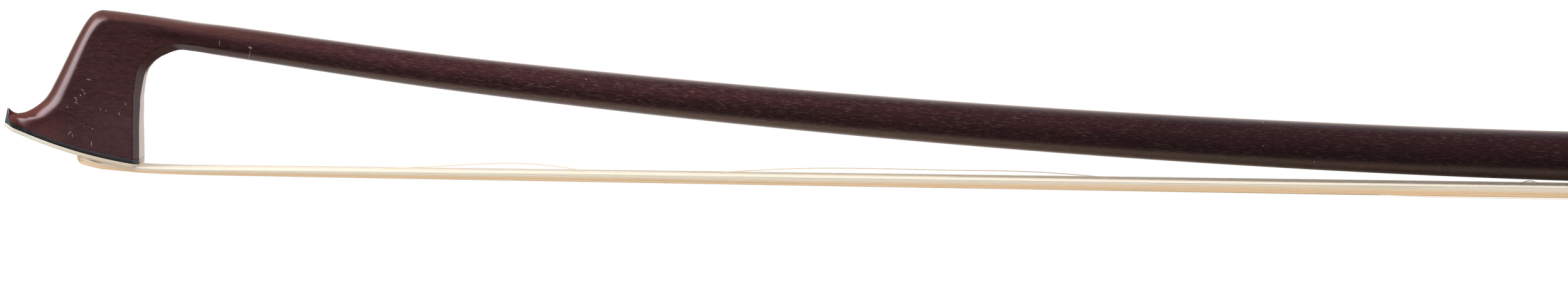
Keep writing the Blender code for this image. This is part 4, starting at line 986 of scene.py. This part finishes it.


# A painted shadow in the slit where the hair leaves the plate, and small dark ticks beside it, in the same form as
# the marks
SLIT_SHADOW_AND_TICKS = (
    (-357.0, 2.72, 1.2, 0.1, 15), (-360.3, 3.05, 0.06, 0.2, 0), (-359.9, 2.98, 0.06, 0.2, 0),
    (-359.45, 2.92, 0.06, 0.2, 0),
)


def horsehair():
    hair = Finish("horsehair", roughness=0.42, ior=1.45, coat_weight=0.25, coat_roughness=0.3)
    strand = hair.attribute("strand")
    tone = hair.axis(strand, 0)
    level = hair.axis(strand, 1)
    place = hair.place()
    streak = hair.noise(place, (0.014, 1.4, 1.4), 2, 0.55)
    olive = hair.noise(place, (0.02, 1.7, 1.7), 1)
    # Strands on top get a darker colour than those on the near side: a painted shade under the light from above
    upper = hair.between(level, 0.6, 1.0)
    # Towards the frog the far half of the top lies in the stick's shadow and is painted lighter: painted light
    shadow_fill = hair.between(hair.axis(place, 0), -310, -220) * hair.between(hair.axis(place, 1), -1.5, 1.0)
    top = hair.blend(shadow_fill, (0.68, 0.60, 0.49), (1.0, 0.86, 0.66))
    colour = hair.blend(upper, (0.97, 0.86, 0.69), top)
    colour = hair.blend((tone * 0.25 + streak * 0.3) * (1 - shadow_fill), colour, (0.90, 0.82, 0.70))
    tan = hair.between(level * -1 + streak * 1.2, -0.2, 1.15) * 0.92
    colour = hair.blend(tan, colour, (0.95, 0.65, 0.37))
    far = hair.between(hair.axis(place, 0), -340, -240, 0.15, 0.42)
    colour = hair.blend(hair.between(olive, 0.54, 0.7) * far, colour, (0.66, 0.56, 0.32))
    # Painted shadow in the slit under the plate, and the dark ticks
    for slit in SLIT_SHADOW_AND_TICKS:
        colour = hair.blend(hair.spot(place, slit, 1.15, 0.75) * 0.85, colour, (0.40, 0.16, 0.08))
    return hair.feed(Base_Color=colour)


# Grip and lapping
def grip_ring(u, lift, soft):
    """A ring of leather over the octagon, between its flats and round, with the overlap of its seam outside."""
    along = STICK_LENGTH - u * TO_BUTTON.x
    radius = stick_radius(along) + lift
    ring = []
    for index in range(GRIP_SIDES):
        turn = 2 * math.pi * index / GRIP_SIDES
        flat = octagon_radius(radius, turn)
        overlap = 0.22 * MM * smooth_share(turn, 3.5, 3.56) * (1 - smooth_share(turn, 3.56, 5.2))
        ring.append(in_frame(around_axis(along, turn, flat + (radius * 1.04 - flat) * soft + overlap * (soft > 0))))
    return ring


def build_grip():
    outer = []
    for step in range(GRIP_STEPS + 1):
        share = step / GRIP_STEPS
        edge = min(share, 1 - share) * GRIP_LENGTH
        swell = 0.45 + 0.5 * math.sqrt(min(edge / (1.1 * MM), 1)) + 0.06 * math.sin(math.pi * share)
        outer.append(grip_ring(GRIP_START + share * GRIP_LENGTH, swell * MM, GRIP_ROUNDNESS))
    inner = [grip_ring(GRIP_START + share * GRIP_LENGTH, 0.06 * MM, 0) for share in (1, 0.5, 0)]
    return smooth(skin("grip", outer + inner, looped=True), 50)


def build_lapping(name, phase):
    """One strip wound round the stick, begun at a share of its pitch."""
    first = LAPPING_START + LAPPING_WIDTH / 2 + phase * LAPPING_PITCH
    half = LAPPING_WIDTH / 2
    section = [(-half, 0.08), (half, 0.08), (half, 0.3), (half * 0.86, 0.42), (half * 0.4, 0.47), (-half * 0.4, 0.47),
               (-half * 0.86, 0.42), (-half, 0.3)]
    rings = []
    for step in range(LAPPING_TURNS * STEPS_PER_TURN + 1):
        share = step / STEPS_PER_TURN
        along = STICK_LENGTH - (first + share * LAPPING_PITCH) * TO_BUTTON.x
        turn = 2 * math.pi * share
        radius = stick_radius(along)
        rings.append([in_frame(around_axis(along + shift, turn, radius + rise * MM)) for shift, rise in section])
    return smooth(skin(name, rings), 40)


# Finishes of the small pieces
def ebony():
    wood = Finish("ebony", ior=1.5, coat_weight=0.4, coat_roughness=0.2)
    place = wood.place()
    pores = wood.noise(place, (0.35, 5, 5), 3, 0.6)
    broad = wood.noise(place, (0.05, 0.5, 0.5), 2)
    colour = wood.blend(wood.between(pores, 0.45, 0.75), (0.0085, 0.0075, 0.0085), (0.024, 0.019, 0.018))
    colour = wood.blend(broad * 0.35, colour, (0.016, 0.012, 0.011))
    # A painted grey reflection on the upturned front facet of the beak
    tip = wood.between(wood.axis(place, 0), -371.5, -372.3)
    colour = wood.blend(tip, colour, (0.075, 0.080, 0.092))
    return wood.feed(Base_Color=colour, Roughness=0.3 + pores * 0.2, Normal=wood.bump(pores, 0.01, 0.35))


def metal(name, light, dark, rough):
    """Polished metal with fine scratches and a little tarnish."""
    plate = Finish(name, metallic=1.0)
    place = plate.place()
    scratches = plate.noise(place, (1.2, 14, 14), 2, 0.7)
    tarnish = plate.noise(place, 0.6, 4, 0.6)
    colour = plate.blend(plate.between(tarnish, 0.42, 0.75), light, dark)
    return plate.feed(
        Base_Color=colour,
        Roughness=rough + scratches * 0.14 + plate.between(tarnish, 0.4, 0.8) * 0.14,
        Normal=plate.bump(scratches, 0.004, 0.4),
    )


def mother_of_pearl():
    pearl = Finish("mother_of_pearl", roughness=0.16, ior=1.55, coat_weight=0.7, coat_roughness=0.06)
    place = pearl.place()
    waves = pearl.noise(place, (0.35, 0.55, 0.55), 3, 0.55, 1.8)
    fire = pearl.noise(place, 0.9, 2, 0.5, 2.5)
    stops = [
        (0.3, (0.62, 0.66, 0.70)), (0.42, (0.80, 0.83, 0.80)), (0.5, (0.86, 0.78, 0.80)), (0.58, (0.72, 0.80, 0.76)),
        (0.72, (0.90, 0.88, 0.84)),
    ]
    colour = pearl.node("ShaderNodeValToRGB", {"stops": stops}, {0: waves})
    colour = pearl.blend(pearl.between(fire, 0.55, 0.7) * 0.5, colour, (0.80, 0.70, 0.82))
    return pearl.feed(Base_Color=colour, Normal=pearl.bump(waves, 0.02, 0.3))


def ivory():
    plate = Finish("ivory_plate", ior=1.5, coat_weight=0.2, coat_roughness=0.25)
    place = plate.place()
    lines = plate.noise(place, (0.3, 1.6, 4), 3, 0.55)
    stain = plate.noise(place, 0.35, 3)
    colour = plate.blend(plate.between(lines, 0.35, 0.7), (0.70, 0.64, 0.50), (0.77, 0.71, 0.60))
    colour = plate.blend(plate.between(stain, 0.55, 0.8) * 0.4, colour, (0.60, 0.52, 0.37))
    # Darker and yellower towards the plate's rear
    rear_tone = plate.between(plate.axis(place, 0), -367.5, -355.0) * 0.9
    colour = plate.blend(rear_tone, colour, (0.61, 0.49, 0.35))
    return plate.feed(Base_Color=colour, Roughness=0.34 + lines * 0.15, Normal=plate.bump(lines, 0.01, 0.3))


def grained_leather():
    hide = Finish("leather", ior=1.45)
    place = hide.place()
    cell = hide.cells(place, 1.5, "DISTANCE_TO_EDGE")
    crease = hide.between(cell, 0.0, 0.14)
    fine = hide.noise(place, 3, 4, 0.6)
    wear = hide.between(hide.noise(place, 0.12, 3), 0.5, 0.75)
    colour = hide.blend(crease, (0.012, 0.008, 0.006), (0.035, 0.022, 0.016))
    colour = hide.blend(wear * 0.5, colour, (0.075, 0.046, 0.030))
    return hide.feed(
        Base_Color=colour,
        Roughness=0.62 - wear * 0.18 + fine * 0.1,
        Normal=hide.bump(crease + fine * 0.25, 0.06, 0.8),
    )


def plain_finish(name, factor, colours, rough, relief, detail=(3, 0.6), span=(0.35, 0.7), **numbers):
    """A finish whose colour, roughness and relief all follow one grain."""
    finish = Finish(name, **numbers)
    grain = finish.noise(finish.place(), factor, *detail)
    least, share = rough
    return finish.feed(
        Base_Color=finish.blend(finish.between(grain, *span), *colours),
        Roughness=least + grain * share,
        Normal=finish.bump(grain, *relief),
    )


EBONY = ebony()
SILVER = metal("silver", (0.82, 0.81, 0.79), (0.62, 0.59, 0.54), 0.16)
BRASS = metal("brass", (0.78, 0.58, 0.27), (0.5, 0.34, 0.15), 0.26)
STEEL = metal("steel", (0.56, 0.56, 0.57), (0.4, 0.39, 0.38), 0.24)
PEARL = mother_of_pearl()
PLUG_WOOD = plain_finish(
    "plug_wood", (0.5, 4, 4), ((0.62, 0.46, 0.28), (0.44, 0.29, 0.16)), (0.6, 0.2), (0.02, 0.5), ior=1.45,
)
BINDING = plain_finish(
    "binding", (1, 1, 6), ((0.42, 0.29, 0.16), (0.22, 0.14, 0.08)), (0.7, 0.1), (0.05, 1.0),
    detail=(2, 0.5), span=(0.4, 0.6), ior=1.4,
)

# Pieces of the stick
stick, foot = build_stick()
mark_grain(stick)
dress(stick, pernambuco(), "stick_wood", "stick", "stick")
dress(build_liner(foot), EBONY, "ebony", "stick", "head_liner")
dress(build_plate(foot), ivory(), "ivory_plate", "stick", "head_plate")
dress(build_grip(), grained_leather(), "leather", "stick", "thumb_grip")
for tone, phase, colours in (
    ("pale", 0.5, ((0.74, 0.66, 0.46), (0.62, 0.52, 0.33))),
    ("dark", 0, ((0.022, 0.017, 0.016), (0.05, 0.036, 0.03))),
):
    strip = plain_finish(
        f"{tone}_strip", (4, 0.9, 0.9), colours, (0.3, 0.2), (0.012, 0.4),
        ior=1.5, coat_weight=0.3, coat_roughness=0.2,
    )
    dress(build_lapping(f"{tone}_lapping", phase), strip, f"{tone}_strip", "stick", f"lapping_{tone}")

# Hair
hair = build_hair()
coat(hair, horsehair())
tuple(in_frame(Vector((2 * MM, 0, 0))))
tuple(frog_point(60.1, 24))
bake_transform(hair)
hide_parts("hair_ribbon")

# Pieces of the frog and the screw
for node, width, finish, slot, body in (
    ("frog_body", 0.35, EBONY, "ebony", "frog"),
    ("ferrule", 0.12, SILVER, "silver", "frog"),
    ("heel_plate", 0.15, SILVER, "silver", "frog"),
    ("slide_pearl", 0.08, PEARL, "pearl", "frog"),
    ("underslide", 0.08, SILVER, "silver", "frog"),
    ("button_collar", 0.2, SILVER, "silver", "screw"),
    ("button_core", 0.15, EBONY, "ebony", "screw"),
    ("button_cap", 0.25, SILVER, "silver", "screw"),
):
    dress(softened(node, width), finish, slot, body, node)

# CAD solids that stay, with their finishes
for finish, nodes in (
    (PLUG_WOOD, ("head_plug", "frog_plug", "spreader_wedge")),
    (BINDING, ("head_hair_knot", "frog_hair_knot")),
    (EBONY, ("slide_backing",)),
    (SILVER, ("heel_pin_left", "heel_pin_right", "eye_ring_left", "eye_ring_right")),
    (PEARL, ("pearl_eye_left", "pearl_eye_right", "button_pearl")),
    (BRASS, ("underslide_screw_front", "underslide_screw_rear", "eyelet")),
    (STEEL, ("screw_shaft",)),
):
    for node in nodes:
        coat(frame["nodes"][node], finish)
